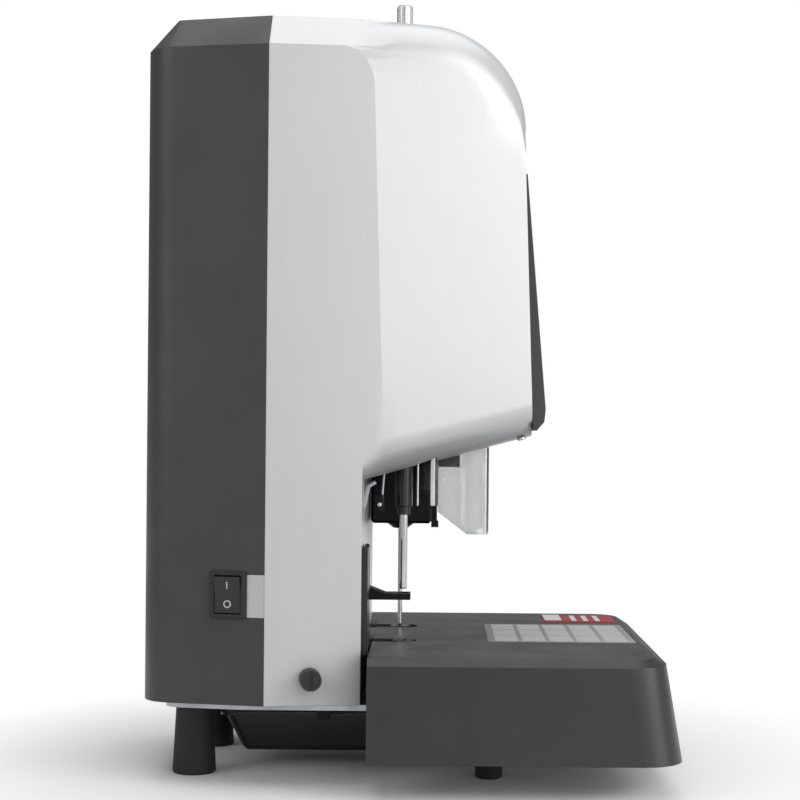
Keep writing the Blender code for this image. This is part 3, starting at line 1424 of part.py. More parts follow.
# Fence behind the table, fixed to the column
def makeFence():
    low = FENCE_FRONT_Y - FENCE_FOOT
    rearY = COLUMN_FRONT_Y - GAP
    roundR = (rearY - FENCE_FRONT_Y) / 2
    profile = rounded(
        [
            (low, FENCE_LOW_Z),
            (rearY, FENCE_LOW_Z),
            (rearY, FENCE_TOP_Z),
            (FENCE_FRONT_Y, FENCE_TOP_Z),
            (FENCE_FRONT_Y, FENCE_STEP_Z),
            (low, FENCE_STEP_Z - FENCE_FOOT),
        ],
        [0, 0, roundR * FENCE_ROUND_SHARE, roundR * FENCE_ROUND_SHARE, 0, 0],
    )
    prism("fence", profile, "X", FENCE_OUT_X, FENCE_IN_X, BLACK_PLASTIC)


# Fuse holder low on the housing's left side
FUSE_LEAN = math.atan(COLUMN_SHARE)


def seatOnColumn(made):
    # The piece is modelled round the origin with its outer face towards -X.
    made.rotation_euler = (0, 0, FUSE_LEAN)
    made.location = (-columnHalf(FUSE_Y), FUSE_Y, FUSE_Z)
    return made


def makeFuse():
    flange = FUSE_FLANGE + GAP
    bore = FUSE_STEM_R + SLIDE_FIT
    profile = [
        (bore, FUSE_BODY_LONG),
        (FUSE_BODY_R, FUSE_BODY_LONG),
        (FUSE_BODY_R, -GAP),
        (FUSE_CAP_R, -GAP),
        (FUSE_CAP_R, -flange),
        (bore, -flange),
    ]
    seatOnColumn(turned("fuse_holder", profile, BLACK_PLASTIC, (0, 0, 0), "X", 24, closed=True))
    capLow = -flange - GAP
    cap = prism(
        "fuse_cap", ribbed(FUSE_CAP_R, FUSE_RIB_DEEP, FUSE_RIBS, (0, 0)), "X", -FUSE_PROUD, capLow, BLACK_PLASTIC
    )
    stem = rod(
        "join_fuse_stem", (0, 0, 0), -FUSE_PROUD / 2, FUSE_BODY_LONG - SLIDE_FIT, FUSE_STEM_R, BLACK_PLASTIC,
        axis="X", sides=20,
    )
    slot = box(
        "cut_fuse_slot", (-FUSE_PROUD - OVERRUN, -FUSE_CAP_R / 8, -FUSE_CAP_R * 2),
        (-FUSE_PROUD + FUSE_FLANGE, FUSE_CAP_R / 8, FUSE_CAP_R * 2), BLACK_PLASTIC,
    )
    fuse(cap, seatOnColumn(stem))
    cut(cap, seatOnColumn(slot))
    seatOnColumn(cap)


# Chip tray and the hook strips that carry its rim
def trayOutline(half, frontY, rearY, cornerR):
    return rounded([(-half, frontY), (half, frontY), (half, rearY), (-half, rearY)], [cornerR] * 4)


def makeTray():
    wall = TRAY_WALL
    rimLow = TRAY_RIM_Z - TRAY_RIM_THICK
    corner = TRAY_CORNER_R
    low = trayOutline(
        TRAY_FLOOR_HALF - corner / 2, TRAY_FRONT_Y + TRAY_SLOPE_FRONT + corner / 2,
        TRAY_REAR_Y - TRAY_SLOPE_REAR - corner / 2, corner / 2,
    )
    knee = trayOutline(TRAY_FLOOR_HALF, TRAY_FRONT_Y + TRAY_SLOPE_FRONT, TRAY_REAR_Y - TRAY_SLOPE_REAR, corner)
    top = trayOutline(TRAY_TOP_HALF, TRAY_FRONT_Y + TRAY_RIM, TRAY_REAR_Y - TRAY_RIM, corner)
    rim = trayOutline(TRAY_RIM_HALF, TRAY_FRONT_Y, TRAY_REAR_Y, corner)
    tray = loft(
        "chip_tray",
        [
            ringAt(low, TRAY_FLOOR_Z),
            ringAt(knee, TRAY_FLOOR_Z + corner / 2),
            ringAt(top, rimLow),
            ringAt(rim, rimLow),
            ringAt(rim, TRAY_RIM_Z),
        ],
        BLACK_PLASTIC,
    )
    lowIn = trayOutline(
        TRAY_FLOOR_HALF - wall - corner / 2, TRAY_FRONT_Y + TRAY_SLOPE_FRONT + wall + corner / 2,
        TRAY_REAR_Y - TRAY_SLOPE_REAR - wall - corner / 2, corner / 2 - wall / 2,
    )
    kneeIn = trayOutline(
        TRAY_FLOOR_HALF - wall, TRAY_FRONT_Y + TRAY_SLOPE_FRONT + wall, TRAY_REAR_Y - TRAY_SLOPE_REAR - wall,
        corner - wall,
    )
    topIn = trayOutline(
        TRAY_TOP_HALF - wall, TRAY_FRONT_Y + TRAY_RIM + wall, TRAY_REAR_Y - TRAY_RIM - wall, corner - wall
    )
    hollow = loft(
        "cut_tray",
        [
            ringAt(lowIn, TRAY_FLOOR_Z + wall),
            ringAt(kneeIn, TRAY_FLOOR_Z + wall + corner / 2),
            ringAt(topIn, rimLow),
            ringAt(topIn, TRAY_RIM_Z + OVERRUN),
        ],
        BLACK_PLASTIC,
    )
    cut(tray, hollow)
    webX = TRAY_RIM_HALF + SLIDE_FIT
    lipTop = rimLow - SLIDE_FIT
    stripHigh = FOOT_HEIGHT - GAP
    for side, sign in (("left", -1), ("right", 1)):
        near = sign * webX
        far = sign * (webX + HOOK_THICK)
        inner = sign * (webX - HOOK_LIP)
        strip = box(
            "tray_hanger_" + side, (min(near, far), HOOK_FRONT_Y - HOOK_LONG / 2, stripHigh - STRIP_HIGH),
            (max(near, far), HOOK_REAR_Y + HOOK_LONG / 2, stripHigh), BLACKED_STEEL,
        )
        for place, y in (("front", HOOK_FRONT_Y), ("rear", HOOK_REAR_Y)):
            arm = box(
                "join_hook_arm_" + place + side, (min(near, far), y - HOOK_LONG / 2, lipTop - HOOK_LIP_THICK),
                (max(near, far), y + HOOK_LONG / 2, stripHigh - GAP), BLACKED_STEEL,
            )
            lip = box(
                "join_hook_lip_" + place + side,
                (min(inner, far), y - HOOK_LONG / 2, lipTop - HOOK_LIP_THICK),
                (max(inner, far), y + HOOK_LONG / 2, lipTop), BLACKED_STEEL,
            )
            fuse(strip, arm, lip)


# Transparent guard round a wedge under the head
def guardOutline(half, frontY, radius, rearY):
    points = [(-half, rearY), (-half, frontY), (half, frontY), (half, rearY)]
    return rounded(points, [0, radius, radius, 0])


def makeGuard():
    wall = GUARD_WALL
    top = headUnder(GUARD_FRONT_Y)
    outline = guardOutline(GUARD_HALF, GUARD_FRONT_Y, GUARD_BEND_R, GUARD_HEEL_Y)
    guard = prism("guard", outline, "Z", GUARD_FLOOR_Z, top, CLEAR)
    inner = guardOutline(GUARD_HALF - wall, GUARD_FRONT_Y + wall, GUARD_BEND_R - wall, GUARD_HEEL_Y + OVERRUN)
    inside = prism("cut_guard", inner, "Z", GUARD_FLOOR_Z - OVERRUN, top + OVERRUN, CLEAR)
    reach = GUARD_HALF + OVERRUN
    over = prism(
        "cut_guard_top",
        [
            (GUARD_HEEL_Y + OVERRUN, headUnder(GUARD_HEEL_Y + OVERRUN) - GAP),
            (GUARD_FRONT_Y - OVERRUN, headUnder(GUARD_FRONT_Y - OVERRUN) - GAP),
            (GUARD_FRONT_Y - OVERRUN, top + OVERRUN),
            (GUARD_HEEL_Y + OVERRUN, top + OVERRUN),
        ],
        "X", -reach, reach, CLEAR,
    )
    lean = (GUARD_HEEL_Z - GUARD_FLOOR_Z) / (GUARD_HEEL_Y - GUARD_TOE_Y)
    heel = prism(
        "cut_guard_heel",
        [
            (GUARD_TOE_Y - OVERRUN, GUARD_FLOOR_Z - OVERRUN * lean),
            (GUARD_HEEL_Y + OVERRUN, GUARD_HEEL_Z + OVERRUN * lean),
            (GUARD_HEEL_Y + OVERRUN, GUARD_FLOOR_Z - OVERRUN * lean),
        ],
        "X", -reach, reach, CLEAR,
    )
    cut(guard, inside, over, heel)
    half = GUARD_HALF - wall - GAP
    wedge = [
        (GUARD_HEEL_Y, headUnder(GUARD_HEEL_Y) - GAP),
        (GUARD_HEEL_Y, BRACKET_LOW_Z),
        (BRACKET_FRONT_Y, BRACKET_LOW_Z),
        (BRACKET_FRONT_Y, headUnder(BRACKET_FRONT_Y) - GAP),
    ]
    prism("guard_bracket", wedge, "X", -half, half, BLACKED_STEEL)


# Mains inlet, control board and power supply behind the mechanism
def makeElectrics():
    wide = INLET_WIDE / 2
    high = INLET_HIGH / 2
    inset = INLET_FLANGE
    seatY = REAR_Y + GAP
    inlet = box(
        "power_inlet", (INLET_X - wide, seatY, INLET_Z - high), (INLET_X + wide, seatY + inset, INLET_Z + high),
        BLACK_PLASTIC,
    )
    body = box(
        "join_inlet_body",
        (INLET_X - wide + 2 * inset + GAP, REAR_Y - INLET_DEEP, INLET_Z - high + inset + GAP),
        (INLET_X + wide - 2 * inset - GAP, seatY + inset / 2, INLET_Z + high - inset - GAP), BLACK_PLASTIC,
    )
    well = box(
        "cut_inlet_well",
        (INLET_X - wide / 2, REAR_Y - INLET_DEEP + inset, INLET_Z - high / 2),
        (INLET_X + wide / 2, seatY + OVERRUN, INLET_Z + high / 2), BLACK_PLASTIC,
    )
    fuse(inlet, body)
    cut(inlet, well)
    for place, shift in (("a", -1), ("b", 0), ("c", 1)):
        pin = box(
            "join_inlet_pin_" + place,
            (INLET_X + shift * wide / 4 - inset / 2, REAR_Y - INLET_DEEP + inset / 2, INLET_Z - inset),
            (INLET_X + shift * wide / 4 + inset / 2, REAR_Y - inset, INLET_Z + inset), BLACK_PLASTIC,
        )
        fuse(inlet, pin)
    box(
        "control_board", (-BOARD_HALF, CHEEK_REAR_Y + GAP, BOARD_LOW_Z),
        (BOARD_HALF, CHEEK_REAR_Y + GAP + BOARD_THICK, BOARD_HIGH_Z), GREEN_BOARD,
    )
    box(
        "power_supply", (SUPPLY_LOW_X, SUPPLY_FRONT_Y, PLATE_Z + GAP),
        (SUPPLY_HIGH_X, SUPPLY_REAR_Y, PLATE_Z + GAP + SUPPLY_HIGH), BLACKED_STEEL, FOOT_EDGE,
    )


makeBase()
makeHousing()
makeRearCover()
makeSwitch()
makePanel()
makeTable()
makeStations()
makeFrame()
makeDrill()
makeRivet()
makePresser()
makeFence()
makeFuse()
makeTray()
makeGuard()
makeElectrics()
print("made", len([thing for thing in bpy.data.objects if not thing.hide_render]), "pieces")
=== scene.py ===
import json
import math

import bmesh
import bpy
from mathutils import Matrix, Vector


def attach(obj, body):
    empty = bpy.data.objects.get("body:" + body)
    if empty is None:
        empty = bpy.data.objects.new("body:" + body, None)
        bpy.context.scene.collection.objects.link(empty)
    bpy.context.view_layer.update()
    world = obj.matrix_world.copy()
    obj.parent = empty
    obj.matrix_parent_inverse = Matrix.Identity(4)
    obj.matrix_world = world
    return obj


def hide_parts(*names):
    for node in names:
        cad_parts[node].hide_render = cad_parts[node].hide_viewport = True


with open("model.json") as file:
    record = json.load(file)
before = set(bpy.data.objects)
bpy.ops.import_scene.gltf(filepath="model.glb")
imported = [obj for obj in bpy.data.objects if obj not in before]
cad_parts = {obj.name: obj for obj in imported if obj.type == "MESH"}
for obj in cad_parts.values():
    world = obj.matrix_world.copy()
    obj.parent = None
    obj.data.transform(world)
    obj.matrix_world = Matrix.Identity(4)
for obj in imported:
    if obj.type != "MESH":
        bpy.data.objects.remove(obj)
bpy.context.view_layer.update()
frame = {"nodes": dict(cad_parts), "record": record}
nodes = frame["nodes"]
print("frame loaded:", len(nodes), "nodes")

mm = 0.001


# colours are written as the hex seen on screen, shaders want them linear
def toLinear(hexText):
    parts = [int(hexText[i:i + 2], 16) / 255 for i in (1, 3, 5)]
    flat = [p / 12.92 if p <= 0.04045 else ((p + 0.055) / 1.055) ** 2.4 for p in parts]
    return (*flat, 1.0)


def addNode(tree, kind, settings=None, links=None):
    node = tree.nodes.new(kind)
    for key, value in (settings or {}).items():
        if isinstance(key, int) or key in node.inputs:
            node.inputs[key].default_value = value
        else:
            setattr(node, key, value)
    for key, source in (links or {}).items():
        tree.links.new(source, node.inputs[key])
    return node


def startMaterial(name):
    made = bpy.data.materials.new(name)
    made.use_nodes = True
    tree = made.node_tree
    tree.nodes.clear()
    place = addNode(tree, "ShaderNodeTexCoord").outputs["Object"]
    return made, tree, place


def endMaterial(tree, shader):
    addNode(tree, "ShaderNodeOutputMaterial", links={"Surface": shader})


def noiseAt(tree, place, sizeMm, detail=3.0, stretch=(1, 1, 1)):
    # one noise cell is about sizeMm wide; stretch above 1 draws it out along that axis
    mapped = addNode(tree, "ShaderNodeMapping", {"Scale": tuple(1 / s for s in stretch)}, {"Vector": place})
    return addNode(
        tree, "ShaderNodeTexNoise", {"Scale": 1 / (sizeMm * mm), "Detail": detail},
        {"Vector": mapped.outputs["Vector"]},
    ).outputs["Fac"]


def colourMix(tree, fac, first, second):
    mix = addNode(tree, "ShaderNodeMix", {"data_type": "RGBA"})
    tree.links.new(fac, mix.inputs[0])
    mix.inputs[6].default_value = toLinear(first)
    mix.inputs[7].default_value = toLinear(second)
    return mix.outputs[2]


# most of a noise lies between these two values
noiseSpan = {"low": 0.3, "high": 0.7}


def spread(tree, fac, low, high):
    return addNode(
        tree, "ShaderNodeMapRange",
        {"From Min": noiseSpan["low"], "From Max": noiseSpan["high"], "To Min": low, "To Max": high},
        {"Value": fac},
    ).outputs["Result"]


# soft edges in the shading, and where an edge counts as rubbed
edges = {"softSamples": 6, "wearSamples": 4, "wearMm": 0.8, "wearFrom": 0.995, "wearTo": 0.90}


def bumpOf(tree, height, depthMm, strength=1.0, roundMm=0.0):
    # roundMm softens the edges by that radius in the shading
    bump = addNode(
        tree, "ShaderNodeBump", {"Strength": strength, "Distance": depthMm * mm}, {"Height": height}
    )
    if roundMm > 0:
        soft = addNode(tree, "ShaderNodeBevel", {"samples": edges["softSamples"], "Radius": roundMm * mm})
        tree.links.new(soft.outputs["Normal"], bump.inputs["Normal"])
    return bump.outputs["Normal"]


def wearMix(tree, base, worn, amount):
    # an edge shows in the difference between the bevelled and the true normal
    bevel = addNode(
        tree, "ShaderNodeBevel", {"samples": edges["wearSamples"], "Radius": edges["wearMm"] * mm}
    )
    geometry = addNode(tree, "ShaderNodeNewGeometry")
    dot = addNode(tree, "ShaderNodeVectorMath", {"operation": "DOT_PRODUCT"})
    tree.links.new(bevel.outputs["Normal"], dot.inputs[0])
    tree.links.new(geometry.outputs["Normal"], dot.inputs[1])
    edge = addNode(
        tree, "ShaderNodeMapRange",
        {"From Min": edges["wearFrom"], "From Max": edges["wearTo"], "To Min": 0.0, "To Max": amount},
        {"Value": dot.outputs["Value"]},
    ).outputs["Result"]
    mix = addNode(tree, "ShaderNodeMix", {"data_type": "RGBA"})
    tree.links.new(edge, mix.inputs[0])
    tree.links.new(base, mix.inputs[6])
    mix.inputs[7].default_value = toLinear(worn)
    return mix.outputs[2]


# silver lacquer sprayed on sheet steel: a satin coat with fine flake and faint upright rub marks
lacquer = {
    "light": "#D2D3D5", "dark": "#CECFD1", "roughLow": 0.375, "roughHigh": 0.395, "metallic": 0.30,
    "cloudMm": 60, "cloudDetail": 2.0,
    "streakMm": 2.2, "streakDetail": 4.0, "streakLong": 60, "streakShare": 0.5,
    "flakeMm": 0.35, "flakeDetail": 2.0, "flakeDeepMm": 0.012, "flakeBump": 0.5,
    "edgeMm": 0.9, "coat": 0.25, "coatRough": 0.25,
}


def makeLacquer():
    made, tree, place = startMaterial("silverLacquerSprayed")
    cloud = noiseAt(tree, place, lacquer["cloudMm"], lacquer["cloudDetail"])
    streak = noiseAt(tree, place, lacquer["streakMm"], lacquer["streakDetail"], (1, 1, lacquer["streakLong"]))
    flake = noiseAt(tree, place, lacquer["flakeMm"], lacquer["flakeDetail"])
    mixed = addNode(tree, "ShaderNodeMix", {"data_type": "FLOAT"})
    mixed.inputs[0].default_value = lacquer["streakShare"]
    tree.links.new(cloud, mixed.inputs[2])
    tree.links.new(streak, mixed.inputs[3])
    colour = colourMix(tree, spread(tree, mixed.outputs[0], 0, 1), lacquer["light"], lacquer["dark"])
    normal = bumpOf(tree, flake, lacquer["flakeDeepMm"], lacquer["flakeBump"], lacquer["edgeMm"])
    shader = addNode(
        tree, "ShaderNodeBsdfPrincipled",
        {"Metallic": lacquer["metallic"], "Coat Weight": lacquer["coat"],
         "Coat Roughness": lacquer["coatRough"]},
        {"Base Color": colour, "Roughness": spread(tree, streak, lacquer["roughLow"], lacquer["roughHigh"]),
         "Normal": normal},
    )
    endMaterial(tree, shader.outputs["BSDF"])
    return made


# moulded plastic and rubber with a spark-eroded grain: fine pebbles, dull, rubbed a little paler along edges
moulded = {"grainDetail": 2.0, "cloudMm": 45, "cloudDetail": 3.0, "ior": 1.52, "bump": 1.0, "edgeMm": 0.6,
           "wear": 0.35}


def makeMoulded(name, light, dark, worn, grainMm, depthMm, roughLow, roughHigh, wear=moulded["wear"]):
    made, tree, place = startMaterial(name)
    grain = noiseAt(tree, place, grainMm, moulded["grainDetail"])
    cloud = noiseAt(tree, place, moulded["cloudMm"], moulded["cloudDetail"])
    colour = colourMix(tree, spread(tree, cloud, 0, 1), light, dark)
    colour = wearMix(tree, colour, worn, wear)
    shader = addNode(
        tree, "ShaderNodeBsdfPrincipled", {"IOR": moulded["ior"]},
        {"Base Color": colour, "Roughness": spread(tree, cloud, roughLow, roughHigh),
         "Normal": bumpOf(tree, grain, depthMm, moulded["bump"], moulded["edgeMm"])},
    )
    endMaterial(tree, shader.outputs["BSDF"])
    return made


# metals: turned, ground, plated or cast, told apart by the direction and size of their marks
metal = {"markDetail": 4.0, "cloudMm": 25, "cloudDetail": 2.0, "wear": 0.5, "bump": 0.6, "edgeMm": 0.25,
         "turned": (14, 14, 1), "drawn": (1, 1, 12), "even": (1, 1, 1)}


def makeMetal(name, light, dark, markMm, stretch, roughLow, roughHigh, depthMm, metallic=1.0, worn=None):
    made, tree, place = startMaterial(name)
    mark = noiseAt(tree, place, markMm, metal["markDetail"], stretch)
    cloud = noiseAt(tree, place, metal["cloudMm"], metal["cloudDetail"])
    colour = colourMix(tree, spread(tree, cloud, 0, 1), light, dark)
    if worn:
        colour = wearMix(tree, colour, worn, metal["wear"])
    shader = addNode(
        tree, "ShaderNodeBsdfPrincipled", {"Metallic": metallic},
        {"Base Color": colour, "Roughness": spread(tree, mark, roughLow, roughHigh),
         "Normal": bumpOf(tree, mark, depthMm, metal["bump"], metal["edgeMm"])},
    )
    endMaterial(tree, shader.outputs["BSDF"])
    return made


# bent acrylic sheet: clear and slightly smoky, its sawn edges grey; the near-white finish on its arrises is a
# painted highlight
sheet = {"hazeMm": 12, "hazeDetail": 3.0, "hazeDeepMm": 0.02, "bump": 0.3, "ior": 1.49}


def makeAcrylic(name, hexText, through, roughLow, roughHigh):
    made, tree, place = startMaterial(name)
    haze = noiseAt(tree, place, sheet["hazeMm"], sheet["hazeDetail"])
    shader = addNode(
        tree, "ShaderNodeBsdfPrincipled",
        {"Base Color": toLinear(hexText), "IOR": sheet["ior"], "Transmission Weight": through},
        {"Roughness": spread(tree, haze, roughLow, roughHigh),
         "Normal": bumpOf(tree, haze, sheet["hazeDeepMm"], sheet["bump"])},
    )
    endMaterial(tree, shader.outputs["BSDF"])
    return made


# glass-fibre laminate with solder mask: green with paler tracks
board = {"trackMm": 14, "trackWide": 0.03, "mask": "#17502E", "maskToo": "#1C5A35", "track": "#3E8257",
         "rough": 0.35}


def makeLaminate():
    made, tree, place = startMaterial("boardLaminateMasked")
    track = addNode(
        tree, "ShaderNodeTexBrick",
        {"Scale": 1 / (board["trackMm"] * mm), "Mortar Size": board["trackWide"],
         "Color1": toLinear(board["mask"]), "Color2": toLinear(board["maskToo"]),
         "Mortar": toLinear(board["track"])},
        {"Vector": place},
    )
    shader = addNode(
        tree, "ShaderNodeBsdfPrincipled", {"Roughness": board["rough"]},
        {"Base Color": track.outputs["Color"]},
    )
    endMaterial(tree, shader.outputs["BSDF"])
    return made


# printed film on the table: matt print over a thin plastic sheet
film = {"fleckMm": 1.2, "fleckDetail": 3.0, "fleckDeepMm": 0.01, "bump": 0.4, "ior": 1.5, "roughEither": 0.05}


def makeFilm(name, light, dark, rough):
    made, tree, place = startMaterial(name)
    fleck = noiseAt(tree, place, film["fleckMm"], film["fleckDetail"])
    colour = colourMix(tree, spread(tree, fleck, 0, 1), light, dark)
    either = film["roughEither"]
    shader = addNode(
        tree, "ShaderNodeBsdfPrincipled", {"IOR": film["ior"]},
        {"Base Color": colour, "Roughness": spread(tree, fleck, rough - either, rough + either),
         "Normal": bumpOf(tree, fleck, film["fleckDeepMm"], film["bump"])},
    )
    endMaterial(tree, shader.outputs["BSDF"])
    return made


silver = makeLacquer()
darkGrey = makeMoulded("darkGreyAbsMoulded", "#424244", "#3A3A3C", "#5A5A5C", grainMm=0.45, depthMm=0.03,
                       roughLow=0.42, roughHigh=0.52)
tableGrey = makeMoulded("tableAbsMoulded", "#323234", "#2B2B2D", "#4C4C4E", grainMm=0.5, depthMm=0.035,
                        roughLow=0.28, roughHigh=0.38)
black = makeMoulded("blackAbsMoulded", "#1C1C1D", "#151516", "#343436", grainMm=0.4, depthMm=0.02,
                    roughLow=0.35, roughHigh=0.45, wear=0.3)
rubber = makeMoulded("blackRubberMoulded", "#262627", "#1C1C1D", "#38383A", grainMm=0.8, depthMm=0.04,
                     roughLow=0.62, roughHigh=0.78, wear=0.25)
blackGloss = makeMoulded("blackGlossMoulded", "#141415", "#101011", "#2A2A2C", grainMm=3.0, depthMm=0.004,
                         roughLow=0.10, roughHigh=0.16, wear=0.3)
blackSteel = makeMetal("steelBlackOxide", "#111113", "#0B0B0D", 0.6, metal["drawn"], roughLow=0.32,
                       roughHigh=0.48, depthMm=0.01, metallic=0.6, worn="#3A3A3C")
quillSteel = makeMetal("steelBlackPolished", "#38383C", "#2E2E32", 0.4, metal["turned"], roughLow=0.16,
                       roughHigh=0.24, depthMm=0.004, metallic=0.7)
ground = makeMetal("steelGround", "#C9CACC", "#B7B8BA", 0.3, metal["turned"], roughLow=0.18, roughHigh=0.30,
                   depthMm=0.006)
polished = makeMetal("steelPolished", "#C4C5C8", "#B8B9BC", 0.3, metal["turned"], roughLow=0.10,
                     roughHigh=0.15, depthMm=0.001)
zinc = makeMetal("steelZincPlated", "#B9BCC0", "#A4A8AD", 6.0, metal["even"], roughLow=0.32, roughHigh=0.48,
                 depthMm=0.01)
castAlu = makeMetal("aluminiumCast", "#AEB0B3", "#9A9C9F", 1.2, metal["even"], roughLow=0.45, roughHigh=0.62,
                    depthMm=0.05)
brass = makeMetal("brassTurned", "#C9A25A", "#B58E48", 0.3, metal["turned"], roughLow=0.22, roughHigh=0.34,
                  depthMm=0.008)
nylon = makeMoulded("nylonTurned", "#E3E0D6", "#D6D2C6", "#EFECE4", grainMm=0.8, depthMm=0.01,
                    roughLow=0.45, roughHigh=0.55, wear=0.2)
acrylic = makeAcrylic("clearAcrylicBent", "#E4E5E5", through=0.94, roughLow=0.03, roughHigh=0.08)
acrylicSawn = makeAcrylic("acrylicEdgeSawn", "#C8CACB", through=0.25, roughLow=0.35, roughHigh=0.5)
# near-white and barely clear: a painted highlight for the guard's arrises and bend lines
acrylicHighlightPainted = makeAcrylic("acrylicEdgePaintedHighlight", "#FAFBFB", through=0.15, roughLow=0.30, roughHigh=0.45)
laminate = makeLaminate()
greyFilm = makeFilm("greyFilmPrinted", "#9FA0A2", "#949597", rough=0.45)
paleFilm = makeFilm("paleFilmPrinted", "#C6C7C8", "#BBBCBD", rough=0.45)
redFilm = makeFilm("redFilmPrinted", "#B3272B", "#A32024", rough=0.4)
whiteFilm = makeFilm("whiteFilmPrinted", "#E4E4E2", "#DADAD8", rough=0.45)
print("materials made")

bySlot = {
    "silver_lacquer": silver, "dark_grey_plastic": darkGrey, "black_plastic": black, "black_rubber": rubber,
    "blackened_steel": blackSteel, "ground_steel": ground, "zinc_sheet": zinc, "cast_aluminium": castAlu,
    "brass": brass, "white_nylon": nylon, "clear_acrylic": acrylic, "green_board": laminate,
}
byNode = {"table_cover": tableGrey, "display_window": blackGloss, "switch_rocker": blackGloss,
          "drill_quill": quillSteel, "spindle": quillSteel, "hollow_drill": polished,
          "cutting_pad": darkGrey, "lower_die": quillSteel}
slotOf = {entry["node"]: entry["material_slot"] for entry in frame["record"]["subparts"]}
bodyOf = {name: body for body, group in frame["record"]["behaviour"]["bodies"].items() for name in group}
for name, slotName in slotOf.items():
    for held in nodes[name].material_slots:
        held.material = byNode.get(name, bySlot[slotName])
print("materials laid on the CAD nodes")

# round and formed pieces: merged copies with smooth shading stand for the CAD's loose triangles
formed = {
    "names": [
        "housing", "rear_cover", "table_cover", "front_panel", "switch_bezel", "switch_rocker", "fuse_holder",
        "fuse_cap", "rear_foot_left", "rear_foot_right", "front_foot_left", "front_foot_right", "chip_tray",
        "presser_arm", "presser_rod", "rivet_block", "rivet_ram", "drill_quill", "spindle", "hollow_drill",
        "guide_needle", "needle_knob", "cutting_pad", "lower_die", "fence", "key_left", "key_middle",
        "key_right", "power_inlet", "chip_chute",
    ],
    "mergeMm": 0.004, "sharpDeg": 32,
}

# the head's roof runs level into the brow and rolls over softly, from the end of the roof's chamfer forwards
brow = {
    # the solid's roof and arc, and the level roof and arc that take their place
    "seamY": 95.0, "fallShare": 0.0514, "roofZ": 514.7, "shoulderZ": 487.0, "shoulderRise": 18.0,
    "oldY": -6.4, "oldZ": 439.4, "oldR": 70.0, "newY": -11.0, "newZ": 447.7, "newR": 67.0, "runUp": 46.0,
    "panelZ": 414.0, "panelFade": 33.0,
    # the sides' taper, the rolled edge and where it fades out
    "sideHalf": 90.9, "sideShare": 0.36, "rollR": 28.0, "wall": 2.5, "flushIn": 6.0, "growth": 45.0,
    "lowZ": 422.0, "lowFade": 82.0,
    # a point inside the head, which tells its outer skin from the inner one
    "insideY": 20.0, "insideZ": 400.0,
    # the finer mesh that carries all this
    "fineMm": 4.0, "fineRounds": 7, "fineFromZ": 300.0, "rearY": 47.0, "snapMm": 1.2, "sliverMm": 0.05,
}
# the pressed crease on each side, as a window in Y and Z
crease = {"lowY": 14.0, "highY": 44.5, "lowZ": 229.0, "highZ": 493.0, "sideX": 90.0, "turnDeg": 3.2,
          "turnY": 25.5, "turnZ": 465.0, "turnUp": 26.0, "turnBack": 19.9}


def ramp(value, low, high):
    share = min(max((value - low) / (high - low), 0.0), 1.0)
    return share * share * (3 - 2 * share)


def creaseAt(z):
    # the crease leans, then turns back into the chamfer in a quarter ellipse
    up = min(max((z - crease["turnZ"]) / crease["turnUp"], 0.0), 1.0)
    return crease["turnY"] + crease["turnBack"] * (1 - math.sqrt(1 - up * up))


def shiftProfile(y, z):
    over, fore = z - brow["oldZ"], brow["oldY"] - y
    if over <= 0 and fore <= 0:
        return y, z
    sink, push = brow["newZ"] - brow["oldZ"], brow["newY"] - brow["oldY"]
    less = brow["oldR"] - brow["newR"]
    if fore <= 0:
        near = 1 - ramp(y, brow["oldY"], brow["oldY"] + brow["runUp"])
        far = (over / brow["oldR"]) ** 2
        shoulder = min(max((z - brow["shoulderZ"]) / brow["shoulderRise"], 0.0), 1.0)
        lift = brow["fallShare"] * (brow["seamY"] - y)
        return y + push * near * far, z + lift * (shoulder + (far - shoulder) * near)
    far = (over * over + fore * fore) / brow["oldR"] ** 2
    angle = math.atan2(fore, over)
    fade = min(max((z - brow["panelZ"]) / brow["panelFade"], 0.0), 1.0) * far
    return y + (push + less * math.sin(angle)) * fade, z + (sink - less * math.cos(angle)) * fade


def profileDepth(y, z):
    # depth under the roof and brow line, and the line's outward direction there
    if y >= brow["newY"]:
        return brow["roofZ"] - z, (0.0, 1.0)
    fore, over = brow["newY"] - y, z - brow["newZ"]
    if over <= 0:
        return brow["newR"] - fore, (-1.0, 0.0)
    reach = math.hypot(fore, over)
    return brow["newR"] - reach, (-fore / reach, over / reach)


def rollEdge(vert):
    x, y, z = vert.co / mm
    side = -1 if x < 0 else 1
    outward = vert.normal.dot(Vector((x, y - brow["insideY"], z - brow["insideZ"]))) > 0
    wall = 0.0 if outward else brow["wall"]
    radius = brow["rollR"] - wall
    inX = brow["sideHalf"] + brow["sideShare"] * y - abs(x) - wall
    newY, newZ = shiftProfile(y, z)
    depth, direction = profileDepth(newY, newZ)
    depth -= wall
    if abs(depth) < brow["snapMm"] and newZ > brow["newZ"] and y < brow["oldY"] + brow["runUp"]:
        # the loft's flat strips go onto the true arc
        newY, newZ, depth = newY + direction[0] * depth, newZ + direction[1] * depth, 0.0
    share = ramp(creaseAt(z) - y, 0.0, brow["growth"])
    share *= ramp(newZ, brow["lowZ"], brow["lowZ"] + brow["lowFade"])
    if inX < radius and share > 0:
        toX, toDepth = inX, depth
        if depth < radius:
            reach = math.hypot(radius - inX, radius - depth)
            toX = radius - (radius - inX) * radius / reach
            toDepth = radius - (radius - depth) * radius / reach
        elif inX < brow["flushIn"]:
            toX = 0.0
        move = (depth - toDepth) * share
        newY += direction[0] * move
        newZ += direction[1] * move
        inX += (toX - inX) * share
    if inX < radius and creaseAt(z) > y:
        x = side * (brow["sideHalf"] + brow["sideShare"] * newY - wall - inX)
    vert.co = Vector((x, newY, newZ)) * mm


def inHead(face):
    middle = face.calc_center_median() / mm
    return middle.y < brow["rearY"] and middle.z > brow["fineFromZ"]


